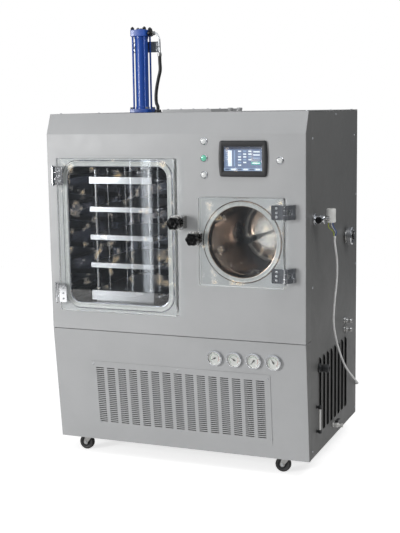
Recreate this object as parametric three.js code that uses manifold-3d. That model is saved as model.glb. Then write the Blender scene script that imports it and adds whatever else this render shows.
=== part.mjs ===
// Pilot freeze dryer with a stoppering press: a sheet-metal cabinet on four casters that
// holds a square drying chamber with hanging shelves, a round cold trap beside it, and the
// refrigeration and oil units below. A hydraulic cylinder on the roof pushes the shelves
// together. Millimetres, X to the right, Y from the front to the rear, Z up.
//
// Inside the cabinet's own frame X is 0 at the middle, Y is 0 on the upright front face and
// Z is 0 at the lower edge of the sheet metal. The last lines place that frame over the
// middle of the floor that the dryer covers.
import * as THREE from 'three';
import { mergeVertices } from 'three/addons/utils/BufferGeometryUtils.js';
import Module from 'manifold-3d';

const wasm = await Module();
wasm.setup();

// ---------------------------------------------------------------- driving dimensions
// Cabinet
const cabinetWidth = 1104;
const cabinetDepth = 800;
const cabinetHeight = 1370;
const groundClearance = 70; // floor to the lower edge of the sheet metal
const sheet = 2; // sheet-metal thickness
const seamHeight = 482; // joint between the upper and the lower front
const seamGap = 3;
const slopeRise = 82; // height of the strip under the roof edge that leans back
const slopeSetback = 36; // how far the roof edge lies behind the front face
const toeSetback = 48; // how far the lower front runs back at its foot
const returnDepth = 68; // side flanges of both fronts
const flangeDepth = 12; // folded edges of the side, rear and roof sheets

// Clearances
const seatGap = 0.3; // between pieces that are screwed or pressed together
const slideGap = 0.6; // between a sliding or turning piece and its bearing
const cutoutGap = 1.5; // between a fitting and its cut-out in the sheet

// Frame of angle steel
const angleLeg = 40;
const angleThickness = 4;
const deckThickness = 3;
const casterPlate = 3;
const casterPlateReach = 34; // from the swivel axis to the plate's edges

// Casters
const casterHeight = 87; // floor to the top of the swivel head
const wheelDiameter = 63;
const wheelWidth = 24;
const casterTrail = 20;
const forkThickness = 3;
const casterSpread = 890; // between the left and the right swivel axes
const casterFromFront = 110;
const casterFromRear = 110;

// Drying chamber
const chamberX = -232;
const chamberRise = 398; // from the seam to the middle of the opening
const openingWidth = 440;
const openingHeight = 556;
const openingRadius = 42;
const interiorSideLip = 20; // how far the flange covers the interior at each side
const interiorEndLip = 22; // and at its floor and ceiling
const interiorDepth = 560;
const interiorRadius = 30;
const chamberWall = 6;
const flangeRim = 25; // face of the flange round the opening
const flangeThickness = 12;
const flangeProud = 1; // flange in front of the sheet metal

// Door panes of clear acrylic
const paneThickness = 30;
const paneStandoff = 6; // pane's back in front of the sheet metal
const paneRadius = 6;
const paneSideLap = 42; // chamber pane beyond its opening at each side
const paneEndLap = 35; // and above and below it
const trapPaneLap = 14; // trap pane beyond the flange
const gasketInset = 3; // gasket edge behind the flange's outer edge

// Hinges and latches
const hingePin = 8;
const hingeBarrel = 16;
const hingeLeafThickness = 4;
const hingeFootHeight = 12;
const chamberHingeHeight = 76;
const trapHingeHeight = 56;
const chamberHingeReach = 34; // leaf over the pane
const trapHingeReach = 46;
const chamberHingeBlock = 16; // block beside the barrel
const trapHingeBlock = 22;
const chamberHingeInsets = [71, 72]; // from the pane's upper and lower edge
const trapHingeInsets = [54, 52];
const earSize = 58;
const earThickness = 3;
const latchStud = 10;
const latchStudReach = 25; // how far the stud enters the keeper
const latchSocket = 16; // wide enough for the stud to swing out with the door
const knobDiameter = 52;
const knobThickness = 22;
const knobStem = 24;
const knobLobes = 6;
const knobLobeDepth = 0.07;
const chamberLatchRise = 64; // above the middle of the pane
const trapLatchRise = 12;
const latchOverhang = 9; // stud axis beyond the pane's free edge

// Shelves and press
const shelfWidth = 284;
const shelfDepth = 450;
const shelfThickness = 20;
const shelfPitch = 115;
const shelfFront = 30; // behind the front face
const baseShelfTop = 68; // above the chamber floor
const baseShelfThickness = 40;
const pressPlateThickness = 27;
const guideRod = 12;
const guideInset = 22; // rod axis from the shelf edges
const guideAbovePress = 30;
const unionRows = [70, 110]; // oil unions behind the front face
const ramRod = 28;

// Hydraulic cylinder on the roof
const cylinderOuter = 54;
const cylinderBore = 42;
const cylinderHeight = 296; // barrel between its base and its head
const headSize = 70;
const headHeight = 27;
const cylinderBaseHeight = 16;
const tieRod = 8;
const tieRodSpacing = 54;
const tieNut = 15; // across corners
const tieNutHeight = 12;
const ramFlange = 90;
const pistonHeight = 16;
const columnDiameter = 110;
const ramSealHeight = 24;
const bracketDrop = 20; // below the head
const bracketHeight = 44;
const hoseDiameter = 14;
const hoseTopX = -150;
const portTubeDrop = 82.3; // from the top of the barrel to the start of the hose
const hoseRouteX = -163;

// Cold trap
const trapX = 300;
const trapRise = 390; // from the seam to the axis
const trapBore = 276;
const trapDepth = 480;
const trapWall = 4;
const trapDish = 50; // bulge of the rear head
const trapFlangeRim = 22; // flange beyond the bore
const trapFacets = 24;
const centreTubeStart = 56; // behind the front face
const centreSleeve = 22;
const sleeveEnd = 210;
const bossHeight = 12;
const saddleRows = [110, 420]; // stands under the chamber, behind the front face
const cradleRows = [120, 380];
const cradleWidth = 220;
const cradleHold = 60; // the cradle's ends lie this far below the trap's axis
const saddleThickness = 24;
const saddleInset = 20; // saddle ends inside the chamber's side walls
const ductBore = 84; // vapour duct between chamber and trap
const ductWall = 4;
const ductY = 330;

// Controls
const screenX = 304;
const screenDrop = 178; // middle of the screen below the roof
const screenWidth = 198;
const screenHeight = 138;
const screenBow = 5; // how far the bezel's sides bulge
const displayWidth = 154;
const displayHeight = 92;
const screenProud = 8;
const screenRecess = 1.2; // display behind the bezel's face
const screenHousingDepth = 38;
const screenHousingRim = 6; // cut-out beyond the display
const buttonBezel = 29;
const bezelProud = 3.5;
const buttonCap = 22;
const capProud = 9;
const capBehind = 16;
const buttonColumnX = 143;
const buttonDrop = 111; // upper button below the roof
const buttonPitch = 65;
const sideButtonInset = 101; // from the cabinet's right edge
const sideButtonDrop = 184;

// Gauges and grille on the lower front
const gaugeBezel = 63;
const gaugeCase = 54;
const gaugeCount = 4;
const firstGaugeX = 175;
const gaugePitch = 81.5;
const gaugeDrop = 79; // below the seam
const gaugeProud = 11;
const gaugeBehind = 30;
const grilleX = 8;
const grilleZ = 203;
const grilleColumns = 15;
const grilleRows = 3;
const slotWidth = 36.5;
const columnPitch = 50.3;
const slotFieldHeight = 245;
const slotShare = 0.45; // open part of each row's pitch
const grilleMargin = 24;
const grilleThickness = 1.5;

// Rear and roof
const rearSlotRows = 6;
const rearSlotPitch = 34;
const rearSlotBottom = 120;
const rearSlotLength = 300;
const rearSlotWidth = 10;
const rearSlotColumn = 240; // from the middle of the sheet to each column's middle
const glandDiameter = 22;
const glandLength = 14;
const roofCoverX = 26;
const roofCoverWidth = 210;
const roofCoverY = 110;
const roofCoverDepth = 300;
const roofCoverHeight = 12;
const bleedCapX = [206, 244];
const bleedCapY = 130;
const hoseGlandHeight = 12;
const ramHoleDiameter = 44;

// Right side
const louvreCount = 8;
const louvrePitch = 58;
const louvreFirstY = 190;
const louvreBottom = 80;
const louvreTop = 392;
const louvreOpening = 0.6; // share of the hood's width that is cut through the sheet
const louvreWidth = 22;
const louvreProud = 9;
const portY = 600;
const portZ = 835;
const valveY = 112;
const valveZ = 955;
const valveKnobOut = 27; // knob axis from the side sheet
const valveBossReach = 22;
const portBore = 34;
const portCollar = 50;
const coilOut = 62;
const coilY = 132;
const coilZ = 969;
const coilHeight = 54;
const leadOffsets = [[-6, -4], [5, 2], [0, 8]];
const couplingY = 182;
const couplingZ = 351;
const stubY = 590;
const stubHeights = [466, 428];
const levelTubeY = 150;
const levelTubeBottom = 98;
const levelTubeTop = 198;
const levelTubeOut = 14;
const drainY = 400;
const drainZ = 54;
const cableDiameter = 8.5;
const cableStart = [cabinetWidth / 2 + 70, 156, 878];
const cableGlandX = cabinetWidth / 2 - 80;
const cableGlandZ = 115;

// Machinery in the lower bay
const compressorX = 250;
const compressorY = 430;
const condenserWidth = 640;
const condenserDepth = 60;
const condenserHeight = 300;
const condenserFins = 16;
const finShare = 0.3; // a fin's share of the fin pitch
const coreShare = 0.3; // solid rear part of the core
const condenserPlate = 4; // its frame, and how far the frame stands round the core
const condenserY = 150;
const hydraulicX = -260;
const hydraulicFromRear = 200;
const tankHalf = [130, 90]; // oil tank, half its width and half its depth
const tankHeight = 150;

// ---------------------------------------------------------------- colours of the finishes
const finish = (color, roughness, metalness = 0) =>
  new THREE.MeshStandardMaterial({ color, roughness, metalness });
const paleGrey = finish(0xb4b6b6, 0.55);
const darkGrey = finish(0x4a4a48, 0.6);
const frameBlack = finish(0x2c2c2c, 0.7);
const stainless = finish(0xc8c9ca, 0.25, 1);
const chrome = finish(0xe2e2e4, 0.12, 1);
const acrylic = finish(0xdfe8ea, 0.05);
const whiteRubber = finish(0xe9e9e4, 0.7);
const blackPlastic = finish(0x111112, 0.35);
const whitePlastic = finish(0xe6e6e2, 0.5);
const cylinderBlue = finish(0x1f3f9e, 0.35);
const hoseRubber = finish(0x161616, 0.75);
const greenLens = finish(0x35c46a, 0.3);
const tyreBlack = finish(0x1b1b1b, 0.8);
const copper = finish(0xb7714a, 0.35, 1);

// ---------------------------------------------------------------- solids
// A closed geometry becomes a solid; a profile that was drawn clockwise comes out inside
// out, so its triangles are turned round first.
function solid(geometry) {
  const source = geometry.index ? geometry.clone() : geometry;
  source.deleteAttribute('normal');
  source.deleteAttribute('uv');
  const merged = mergeVertices(source, 1e-4);
  const vertProperties = new Float32Array(merged.attributes.position.array);
  const triVerts = new Uint32Array(merged.index.array);
  if (signedVolume(vertProperties, triVerts) < 0) {
    for (let i = 0; i < triVerts.length; i += 3) {
      [triVerts[i], triVerts[i + 1]] = [triVerts[i + 1], triVerts[i]];
    }
  }
  return new wasm.Manifold(new wasm.Mesh({ numProp: 3, vertProperties, triVerts }));
}

function signedVolume(points, triangles) {
  const [a, b, c] = [new THREE.Vector3(), new THREE.Vector3(), new THREE.Vector3()];
  let total = 0;
  for (let i = 0; i < triangles.length; i += 3) {
    a.fromArray(points, 3 * triangles[i]);
    b.fromArray(points, 3 * triangles[i + 1]);
    c.fromArray(points, 3 * triangles[i + 2]);
    total += a.dot(b.cross(c));
  }
  return total;
}

function geometryOf(body) {
  const { vertProperties, triVerts, numProp } = body.getMesh();
  const positions = new Float32Array((vertProperties.length / numProp) * 3);
  for (let i = 0; i < positions.length / 3; i += 1) {
    positions.set(vertProperties.subarray(i * numProp, i * numProp + 3), 3 * i);
  }
  const geometry = new THREE.BufferGeometry();
  geometry.setAttribute('position', new THREE.BufferAttribute(positions, 3));
  geometry.setIndex(new THREE.BufferAttribute(new Uint32Array(triVerts), 1));
  return geometry;
}

const join = (first, ...rest) => rest.reduce((body, next) => body.add(next), first);
const cut = (first, ...rest) => rest.reduce((body, next) => body.subtract(next), first);

// A block between two corners, whose limits may be given in either order.
function block(x0, x1, y0, y1, z0, z1) {
  const box = new THREE.BoxGeometry(Math.abs(x1 - x0), Math.abs(y1 - y0), Math.abs(z1 - z0));
  return solid(box.translate((x0 + x1) / 2, (y0 + y1) / 2, (z0 + z1) / 2));
}

// Directions for extrusions and turned pieces. Each matrix sends the drawing's x, y and z
// to the cabinet's axes without mirroring it.
const axis = {
  x: new THREE.Vector3(1, 0, 0),
  y: new THREE.Vector3(0, 1, 0),
  z: new THREE.Vector3(0, 0, 1),
};
const negative = (vector) => vector.clone().negate();
const frontView = new THREE.Matrix4().makeBasis(axis.x, axis.z, negative(axis.y));
const sideView = new THREE.Matrix4().makeBasis(axis.y, axis.z, axis.x);
const turnedToFront = new THREE.Matrix4().makeBasis(axis.x, negative(axis.y), negative(axis.z));
const turnedUp = new THREE.Matrix4().makeBasis(axis.x, axis.z, negative(axis.y));
const turnedToRight = new THREE.Matrix4().makeBasis(axis.y, axis.x, negative(axis.z));
const turnedToRear = new THREE.Matrix4().makeBasis(axis.z, axis.y, negative(axis.x));

// An outline drawn in X and Z, carried from yFront back to yRear.
function fromFront(shape, yFront, yRear, curveSegments = 3) {
  const depth = yRear - yFront;
  const geometry = new THREE.ExtrudeGeometry(shape, { depth, bevelEnabled: false, curveSegments });
  return solid(geometry.applyMatrix4(frontView).translate(0, yRear, 0));
}

// An outline drawn in Y and Z, carried from x0 to x1.
function fromSide(shape, x0, x1, curveSegments = 3) {
  const depth = x1 - x0;
  const geometry = new THREE.ExtrudeGeometry(shape, { depth, bevelEnabled: false, curveSegments });
  return solid(geometry.applyMatrix4(sideView).translate(x0, 0, 0));
}

// An outline drawn in X and Y, carried from z0 up to z1.
function fromAbove(shape, z0, z1, curveSegments = 3) {
  const depth = z1 - z0;
  const geometry = new THREE.ExtrudeGeometry(shape, { depth, bevelEnabled: false, curveSegments });
  return solid(geometry.translate(0, 0, z0));
}

// A turned piece: the profile holds [radius, distance along the axis] pairs.
function turned(profile, direction, at, segments = 16) {
  const points = profile.map(([radius, along]) => new THREE.Vector2(radius, along));
  const geometry = new THREE.LatheGeometry(points, segments);
  return solid(geometry.applyMatrix4(direction).translate(...at));
}

// A turned ring of rectangular section.
function ring(inner, outer, from, to, direction, at, segments = 16) {
  const [r0, r1] = [inner / 2, outer / 2];
  return turned([[r0, from], [r1, from], [r1, to], [r0, to], [r0, from]], direction, at, segments);
}

// A plain round bar or bore between two distances along its axis.
function round(diameter, from, to, direction, at, segments = 16) {
  const radius = diameter / 2;
  return turned([[0, from], [radius, from], [radius, to], [0, to]], direction, at, segments);
}

function polygon(points) {
  return new THREE.Shape(points.map(([x, y]) => new THREE.Vector2(x, y)));
}

function roundedRectangle(x, y, width, height, radius) {
  const shape = new THREE.Shape();
  const [left, right] = [x - width / 2, x + width / 2];
  const [low, high] = [y - height / 2, y + height / 2];
  shape.moveTo(left + radius, low);
  shape.lineTo(right - radius, low);
  shape.absarc(right - radius, low + radius, radius, -Math.PI / 2, 0);
  shape.lineTo(right, high - radius);
  shape.absarc(right - radius, high - radius, radius, 0, Math.PI / 2);
  shape.lineTo(left + radius, high);
  shape.absarc(left + radius, high - radius, radius, Math.PI / 2, Math.PI);
  shape.lineTo(left, low + radius);
  shape.absarc(left + radius, low + radius, radius, Math.PI, 1.5 * Math.PI);
  return shape;
}

function hexagon(acrossCorners, z0, z1, x, y) {
  const nut = new THREE.CylinderGeometry(acrossCorners / 2, acrossCorners / 2, z1 - z0, 6);
  return solid(nut.applyMatrix4(turnedUp).translate(x, y, (z0 + z1) / 2));
}

// A tube of even diameter along a smooth route.
function tube(points, diameter, steps, sides = 10) {
  const route = new THREE.CatmullRomCurve3(points.map((point) => new THREE.Vector3(...point)));
  const section = Array.from({ length: sides }, (_, i) => {
    const angle = (2 * Math.PI * i) / sides;
    return [(diameter / 2) * Math.cos(angle), (diameter / 2) * Math.sin(angle)];
  });
  const options = { extrudePath: route, steps, bevelEnabled: false };
  return solid(new THREE.ExtrudeGeometry(polygon(section), options));
}

const cabinet = new THREE.Group();
cabinet.position.z = groundClearance;

function piece(name, body, material, parent = cabinet) {
  const mesh = new THREE.Mesh(geometryOf(body), material);
  mesh.name = name;
  parent.add(mesh);
  return mesh;
}

// ---------------------------------------------------------------- worked-out places
const halfWidth = cabinetWidth / 2;
const chamberZ = seamHeight + chamberRise;
const trapZ = seamHeight + trapRise;
const gaugeZ = seamHeight - gaugeDrop;
const screenZ = cabinetHeight - screenDrop;
const slopeHeight = cabinetHeight - slopeRise;
const interiorWidth = openingWidth + 2 * interiorSideLip;
const interiorHeight = openingHeight + 2 * interiorEndLip;
const trapFlange = trapBore + 2 * trapFlangeRim;
const slotField = slotWidth + (grilleColumns - 1) * columnPitch;
const gaugeColumns = Array.from({ length: gaugeCount }, (_, i) => firstGaugeX + i * gaugePitch);
const buttonPlaces = [
  ...[0, 1, 2].map((row) => [buttonColumnX, cabinetHeight - buttonDrop - row * buttonPitch]),
  [halfWidth - sideButtonInset, cabinetHeight - sideButtonDrop],
];
const casterPlaces = [-1, 1].flatMap((side) => [
  [side * (casterSpread / 2), casterFromFront],
  [side * (casterSpread / 2), cabinetDepth - casterFromRear],
]);
const insideHalfWidth = halfWidth - sheet - seatGap;
const roofUnderside = cabinetHeight - sheet;
const sideFront = returnDepth + seatGap;
const sideTop = roofUnderside - seatGap;
const frameFront = sideFront + sheet + seatGap;
const frameRear = cabinetDepth - flangeDepth - seatGap;
const frameTop = sideTop - sheet - seatGap;
const casterTop = casterHeight - groundClearance;
const frameBottom = casterTop + seatGap + casterPlate;
const bayFloor = frameBottom + angleLeg;
const deckTop = seamHeight + deckThickness;
const paneBack = -paneStandoff;
const paneFront = paneBack - paneThickness;
const shelfMiddleY = shelfFront + shelfDepth / 2;
const chamberFloor = chamberZ - interiorHeight / 2;
const chamberRoof = chamberZ + interiorHeight / 2 + chamberWall;
const baseShelfLevel = chamberFloor + baseShelfTop;
const pressPlateBottom = baseShelfLevel + 4 * shelfPitch - shelfThickness;
const pressPlateTop = pressPlateBottom + pressPlateThickness;
const trapOuter = trapBore + 2 * trapWall;
const cylinderBaseTop = cabinetHeight + seatGap + cylinderBaseHeight;
const barrelTop = cylinderBaseTop + cylinderHeight;
const hoseTopZ = barrelTop - portTubeDrop;
const toeAngle = Math.atan2(toeSetback, seamHeight);

// Everything on the leaning lower front is drawn upright and then leaned with it.
const leaningFront = new THREE.Group();
leaningFront.position.z = seamHeight;
leaningFront.rotation.x = toeAngle;
cabinet.add(leaningFront);
const downTheLean = (z) => (z - seamHeight) / Math.cos(toeAngle);

const bothSides = [-1, 1];
const corners = bothSides.flatMap((side) => bothSides.map((end) => [side, end]));

// A door's edges, hinge axis and latch axis follow from its pane. Its hinges and its latch
// have the sizes that are given with it.
function doorPlan(name, [x, z], [width, height], hingeSide, fittings) {
  const hingeEdge = x + (hingeSide * width) / 2;
  const freeEdge = x - (hingeSide * width) / 2;
  const { hingeInsets, latchRise, ...sizes } = fittings;
  return {
    name, x, z, width, height, hingeSide, hingeEdge, freeEdge, ...sizes,
    hingeX: hingeEdge + hingeSide * (hingeBarrel / 2 + cutoutGap),
    hingeY: paneFront - seatGap - hingeLeafThickness,
    hingeLevels: [z + height / 2 - hingeInsets[0], z - height / 2 + hingeInsets[1]],
    latchX: freeEdge - hingeSide * latchOverhang,
    latchZ: z + latchRise,
  };
}
const chamberPlan = doorPlan(
  'chamber', [chamberX, chamberZ],
  [openingWidth + 2 * paneSideLap, openingHeight + 2 * paneEndLap], -1,
  {
    hingeInsets: chamberHingeInsets, latchRise: chamberLatchRise, hingeHeight: chamberHingeHeight,
    leafReach: chamberHingeReach, blockWidth: chamberHingeBlock,
  },
);
const trapPlan = doorPlan(
  'trap', [trapX, trapZ], [trapFlange + 2 * trapPaneLap, trapFlange + 2 * trapPaneLap], 1,
  {
    hingeInsets: trapHingeInsets, latchRise: trapLatchRise, hingeHeight: trapHingeHeight,
    leafReach: trapHingeReach, blockWidth: trapHingeBlock,
  },
);

// ---------------------------------------------------------------- frame
// Welded angle steel with two decks, caster plates and the two cradles of the cold trap.
function buildChassis() {
  const [leg, thick] = [angleLeg, angleThickness];
  const [wide, near, far] = [insideHalfWidth, frameFront, frameRear];
  // The angles form one thin-walled box with windows between posts and rails.
  let body = cut(
    block(-wide, wide, near, far, frameBottom, frameTop),
    block(
      thick - wide, wide - thick, near + thick, far - thick, frameBottom - 1, frameTop + 1,
    ),
  );
  for (const [low, high] of [[bayFloor + thick, seamHeight - leg], [deckTop + thick, frameTop - leg]]) {
    body = cut(
      body,
      block(leg - wide, wide - leg, near - 1, far + 1, low, high),
      block(-wide - 1, wide + 1, near + leg, far - leg, low, high),
    );
  }
  const inside = [thick / 2 - wide, wide - thick / 2, near + thick / 2, far - thick / 2];
  const topLeg = cut(
    block(...inside, frameTop - 1 - thick, frameTop - 1),
    block(leg - wide, wide - leg, near + leg, far - leg, frameTop - leg, frameTop),
  );
  body = join(
    body, topLeg, block(...inside, seamHeight, deckTop),
    block(...inside, bayFloor - deckThickness, bayFloor),
  );
  for (const [x, y] of casterPlaces) {
    const reach = casterPlateReach;
    const columns = [x - reach, x + reach, Math.sign(x) * (wide - 1)];
    const rows = [y - reach, y + reach, y < cabinetDepth / 2 ? near + 1 : far - 1];
    body = body.add(block(
      Math.min(...columns), Math.max(...columns), Math.min(...rows), Math.max(...rows),
      frameBottom - casterPlate, frameBottom + 1,
    ));
  }
  const trapSeat = round(
    trapOuter + 2 * seatGap, -cabinetDepth, 0, turnedToFront, [trapX, 0, trapZ], trapFacets,
  );
  const cradles = cradleRows.map((y) => block(
    trapX - cradleWidth / 2, trapX + cradleWidth / 2, y, y + saddleThickness,
    deckTop - 1, trapZ - cradleHold,
  ).subtract(trapSeat));
  return join(body, ...cradles);
}
piece('chassis', buildChassis(), frameBlack);

// ---------------------------------------------------------------- folded front sheets
// A tray folded from sheet: the outline is its side view in Y and Z, open to the rear.
function foldedFront(outline, inside) {
  const outer = fromSide(polygon(outline), -halfWidth, halfWidth);
  const inner = fromSide(polygon(inside), -halfWidth + sheet, halfWidth - sheet);
  return outer.subtract(inner);
}

function buildUpperFront() {
  const low = seamHeight + seamGap / 2;
  const lean = slopeSetback / (cabinetHeight - slopeHeight);
  const behind = returnDepth + 1;
  let body = foldedFront(
    [[0, low], [0, slopeHeight], [slopeSetback, cabinetHeight], [returnDepth, cabinetHeight],
      [returnDepth, low]],
    [[sheet, low + sheet], [sheet, slopeHeight], [slopeSetback + sheet * (1 - lean), roofUnderside],
      [behind, roofUnderside], [behind, low + sheet]],
  );
  const through = [-1, sheet + 1];
  const chamberCutout = roundedRectangle(
    chamberX, chamberZ,
    openingWidth + 2 * (flangeRim + cutoutGap), openingHeight + 2 * (flangeRim + cutoutGap),
    openingRadius + flangeRim + cutoutGap,
  );
  const screenCutout = roundedRectangle(
    screenX, screenZ, displayWidth + 2 * screenHousingRim, displayHeight + 2 * screenHousingRim, 4,
  );
  body = cut(
    body,
    fromFront(chamberCutout, ...through),
    round(
      trapFlange + 2 * cutoutGap, -sheet - 1, 1, turnedToFront, [trapX, 0, trapZ], trapFacets,
    ),
    fromFront(screenCutout, ...through),
  );
  for (const [x, z] of buttonPlaces) {
    const hole = buttonCap + 2 * slideGap;
    body = body.add(round(buttonBezel, -sheet / 2, bezelProud, turnedToFront, [x, 0, z], 12));
    body = body.subtract(round(hole, -sheet - 1, bezelProud + 1, turnedToFront, [x, 0, z], 12));
  }
  for (const plan of [chamberPlan, trapPlan]) {
    body = join(body, ...plan.hingeLevels.map((z) => hingeBlock(plan, z)), latchKeeper(plan));
  }
  return body;
}

// The fixed half of a hinge: a foot on the sheet, two knuckles on arms, and the pin.
function hingeBlock({ hingeX, hingeY, hingeSide, hingeHeight, blockWidth }, z) {
  const outside = hingeX + hingeSide * (hingeBarrel / 2 + blockWidth);
  const third = hingeHeight / 3;
  const [low, high] = [z - hingeHeight / 2, z + hingeHeight / 2];
  const arm = polygon([
    [hingeX, hingeY - hingeBarrel / 2], [outside, -hingeFootHeight], [outside, sheet / 2],
    [hingeX, sheet / 2],
  ]);
  const foot = polygon([
    [hingeX, -hingeFootHeight / 2], [outside, -hingeFootHeight / 2], [outside, sheet / 2],
    [hingeX, sheet / 2],
  ]);
  const at = [hingeX, hingeY, 0];
  const parts = [fromAbove(foot, low, high), round(hingePin, low, high, turnedUp, at, 8)];
  for (const start of [low, high - third + slideGap]) {
    const end = start + third - slideGap;
    parts.push(fromAbove(arm, start, end), round(hingeBarrel, start, end, turnedUp, at, 10));
  }
  return join(...parts);
}

// The moving half: a leaf screwed to the pane's front and one knuckle round the pin.
function hingeLeaf({ hingeX, hingeY, hingeEdge, hingeSide, hingeHeight, leafReach }, z) {
  const third = hingeHeight / 3;
  const backFace = paneFront - seatGap;
  const tip = hingeEdge - hingeSide * leafReach;
  const root = hingeX - hingeSide * (hingeBarrel / 2 + cutoutGap);
  const frontFace = backFace - hingeLeafThickness;
  const plate = block(root, tip, frontFace, backFace, z - hingeHeight / 2, z + hingeHeight / 2);
  const low = z - third / 2 + slideGap;
  const high = z + third / 2 - slideGap;
  const tab = block(hingeX, root - hingeSide, frontFace, backFace, low, high);
  const at = [hingeX, hingeY, 0];
  const barrel = round(hingeBarrel, low, high, turnedUp, at, 10);
  const pinHole = round(hingePin + 2 * slideGap, low - 1, high + 1, turnedUp, at, 8);
  return cut(join(plate, tab, barrel), pinHole);
}

// The keeper on the sheet beside the pane, with the socket that the latch stud enters.
function latchKeeper({ freeEdge, latchX, latchZ, hingeSide }) {
  const near = freeEdge - hingeSide * cutoutGap;
  const far = latchX - hingeSide * (earSize / 2 - 2);
  const front = paneFront + 1;
  const half = earSize / 2 - 4;
  const body = block(near, far, front, sheet / 2, latchZ - half, latchZ + half);
  return body.subtract(round(latchSocket, 2, -front + 1, turnedToFront, [latchX, 0, latchZ]));
}

function buildLowerFront() {
  const high = seamHeight - seamGap / 2;
  const faceY = (z) => toeSetback * (1 - z / seamHeight);
  const behind = returnDepth + 1;
  let body = foldedFront(
    [[faceY(high), high], [toeSetback, 0], [returnDepth, 0], [returnDepth, high]],
    [[faceY(high - sheet) + sheet, high - sheet], [faceY(sheet) + sheet, sheet], [behind, sheet],
      [behind, high - sheet]],
  );
  const through = [-1, toeSetback + 5];
  for (const x of gaugeColumns) {
    const hole = round(gaugeCase + 2 * cutoutGap, -toeSetback, 1, turnedToFront, [x, 0, gaugeZ], 14);
    body = body.subtract(hole);
  }
  const grilleOpening = roundedRectangle(grilleX, grilleZ, slotField + 8, slotFieldHeight + 8, 3);
  return body.subtract(fromFront(grilleOpening, ...through));
}
piece('front_upper_panel', buildUpperFront(), paleGrey);
piece('front_lower_panel', buildLowerFront(), paleGrey);

// Punched grille: columns of short horizontal slots in a plate screwed over the opening.
function buildGrille() {
  const middle = downTheLean(grilleZ);
  const height = slotFieldHeight + 2 * grilleMargin;
  const outline = roundedRectangle(grilleX, middle, slotField + 2 * grilleMargin, height, 4);
  const face = -seatGap - grilleThickness;
  let plate = fromFront(outline, face, -seatGap, 1);
  const rowPitch = slotFieldHeight / grilleRows;
  const slotHeight = rowPitch * slotShare;
  for (let column = 0; column < grilleColumns; column += 1) {
    const left = grilleX - slotField / 2 + column * columnPitch;
    for (let row = 0; row < grilleRows; row += 1) {
      const low = middle - slotFieldHeight / 2 + (row + 0.5) * rowPitch - slotHeight / 2;
      plate = plate.subtract(block(left, left + slotWidth, face - 1, 1, low, low + slotHeight));
    }
  }
  return plate;
}
piece('front_grille', buildGrille(), paleGrey, leaningFront);

// ---------------------------------------------------------------- side, rear and roof sheets
// One pressed louvre: a hood closed at both ends, open towards the front of the cabinet.
function louvreHood(side, y, z0, z1) {
  const skin = sheet * 0.75;
  const wedge = (inset) => {
    const open = y - (inset > 0 ? 1 : 0);
    return polygon([
      [side * (halfWidth - 0.5), open], [side * (halfWidth + louvreProud - inset), open],
      [side * (halfWidth - 0.5), y + louvreWidth - 3 * inset],
    ]);
  };
  return cut(fromAbove(wedge(0), z0, z1), fromAbove(wedge(skin), z0 + skin, z1 - skin));
}

// A side sheet is a tray with folded edges at the front, top and bottom, and a louvre bank.
function sideSheet(side) {
  const outside = side * halfWidth;
  let body = cut(
    block(outside - side * flangeDepth, outside, sideFront, cabinetDepth, 0, sideTop),
    block(
      outside - side * (flangeDepth + 1), outside - side * sheet,
      sideFront + sheet, cabinetDepth + 1, sheet, sideTop - sheet,
    ),
  );
  for (let i = 0; i < louvreCount; i += 1) {
    const y = louvreFirstY + i * louvrePitch;
    body = body.add(louvreHood(side, y, louvreBottom, louvreTop));
    body = body.subtract(block(
      outside - side * (sheet + 1), outside + side * 0.1,
      y + 1, y + louvreWidth * louvreOpening, louvreBottom + sheet, louvreTop - sheet,
    ));
  }
  return body;
}

// The right sheet also carries an oil coupling, two stubs and the level tube of the oil tank.
function rightSheet() {
  const onSheet = (y, z) => [halfWidth, y, z];
  const coupling = turned(
    [[0, -1], [19, -1], [19, 6], [14, 8], [14, 20], [16, 22], [16, 43], [0, 43]],
    turnedToRight, onSheet(couplingY, couplingZ), 12,
  );
  const stubs = stubHeights.map((z) => turned(
    [[0, -1], [15, -1], [15, 12], [8, 13], [8, 24], [10, 26], [10, 34], [0, 34]],
    turnedToRight, onSheet(stubY, z), 10,
  ));
  const tubeAt = [halfWidth + levelTubeOut, levelTubeY, 0];
  const levelTube = join(
    round(9, levelTubeBottom, levelTubeTop, turnedUp, tubeAt, 8),
    ...[levelTubeBottom, levelTubeTop].map((z) => join(
      round(15, z - 7, z + 7, turnedUp, tubeAt, 10),
      round(11, -1, levelTubeOut, turnedToRight, onSheet(levelTubeY, z), 8),
    )),
  );
  const portHole = round(
    portCollar + 2 * cutoutGap, -sheet - 1, 1, turnedToRight, onSheet(portY, portZ), 14,
  );
  return join(sideSheet(1).subtract(portHole), coupling, ...stubs, levelTube);
}
piece('left_side_panel', sideSheet(-1), darkGrey);
piece('right_side_panel', rightSheet(), darkGrey);

function rearSheet() {
  const [low, high] = [sheet + seatGap, sideTop - sheet - seatGap];
  const inner = insideHalfWidth - sheet;
  const rearInside = cabinetDepth - sheet;
  let body = cut(
    block(-insideHalfWidth, insideHalfWidth, cabinetDepth - flangeDepth, cabinetDepth, low, high),
    block(-inner, inner, cabinetDepth - flangeDepth - 1, rearInside, low + sheet, high - sheet),
  );
  for (let row = 0; row < rearSlotRows; row += 1) {
    const z = rearSlotBottom + row * rearSlotPitch;
    for (const side of bothSides) {
      const middle = side * rearSlotColumn;
      const [left, right] = [middle - rearSlotLength / 2, middle + rearSlotLength / 2];
      body = body.subtract(block(left, right, rearInside - 1, cabinetDepth + 1, z, z + rearSlotWidth));
    }
  }
  const gland = ring(
    cableDiameter + 1, glandDiameter, -sheet / 2, glandLength, turnedToRear,
    [cableGlandX, cabinetDepth, cableGlandZ], 12,
  );
  const bore = round(
    cableDiameter + 1, -sheet - 1, 0, turnedToRear, [cableGlandX, cabinetDepth, cableGlandZ], 12,
  );
  return body.add(gland).subtract(bore);
}
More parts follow.
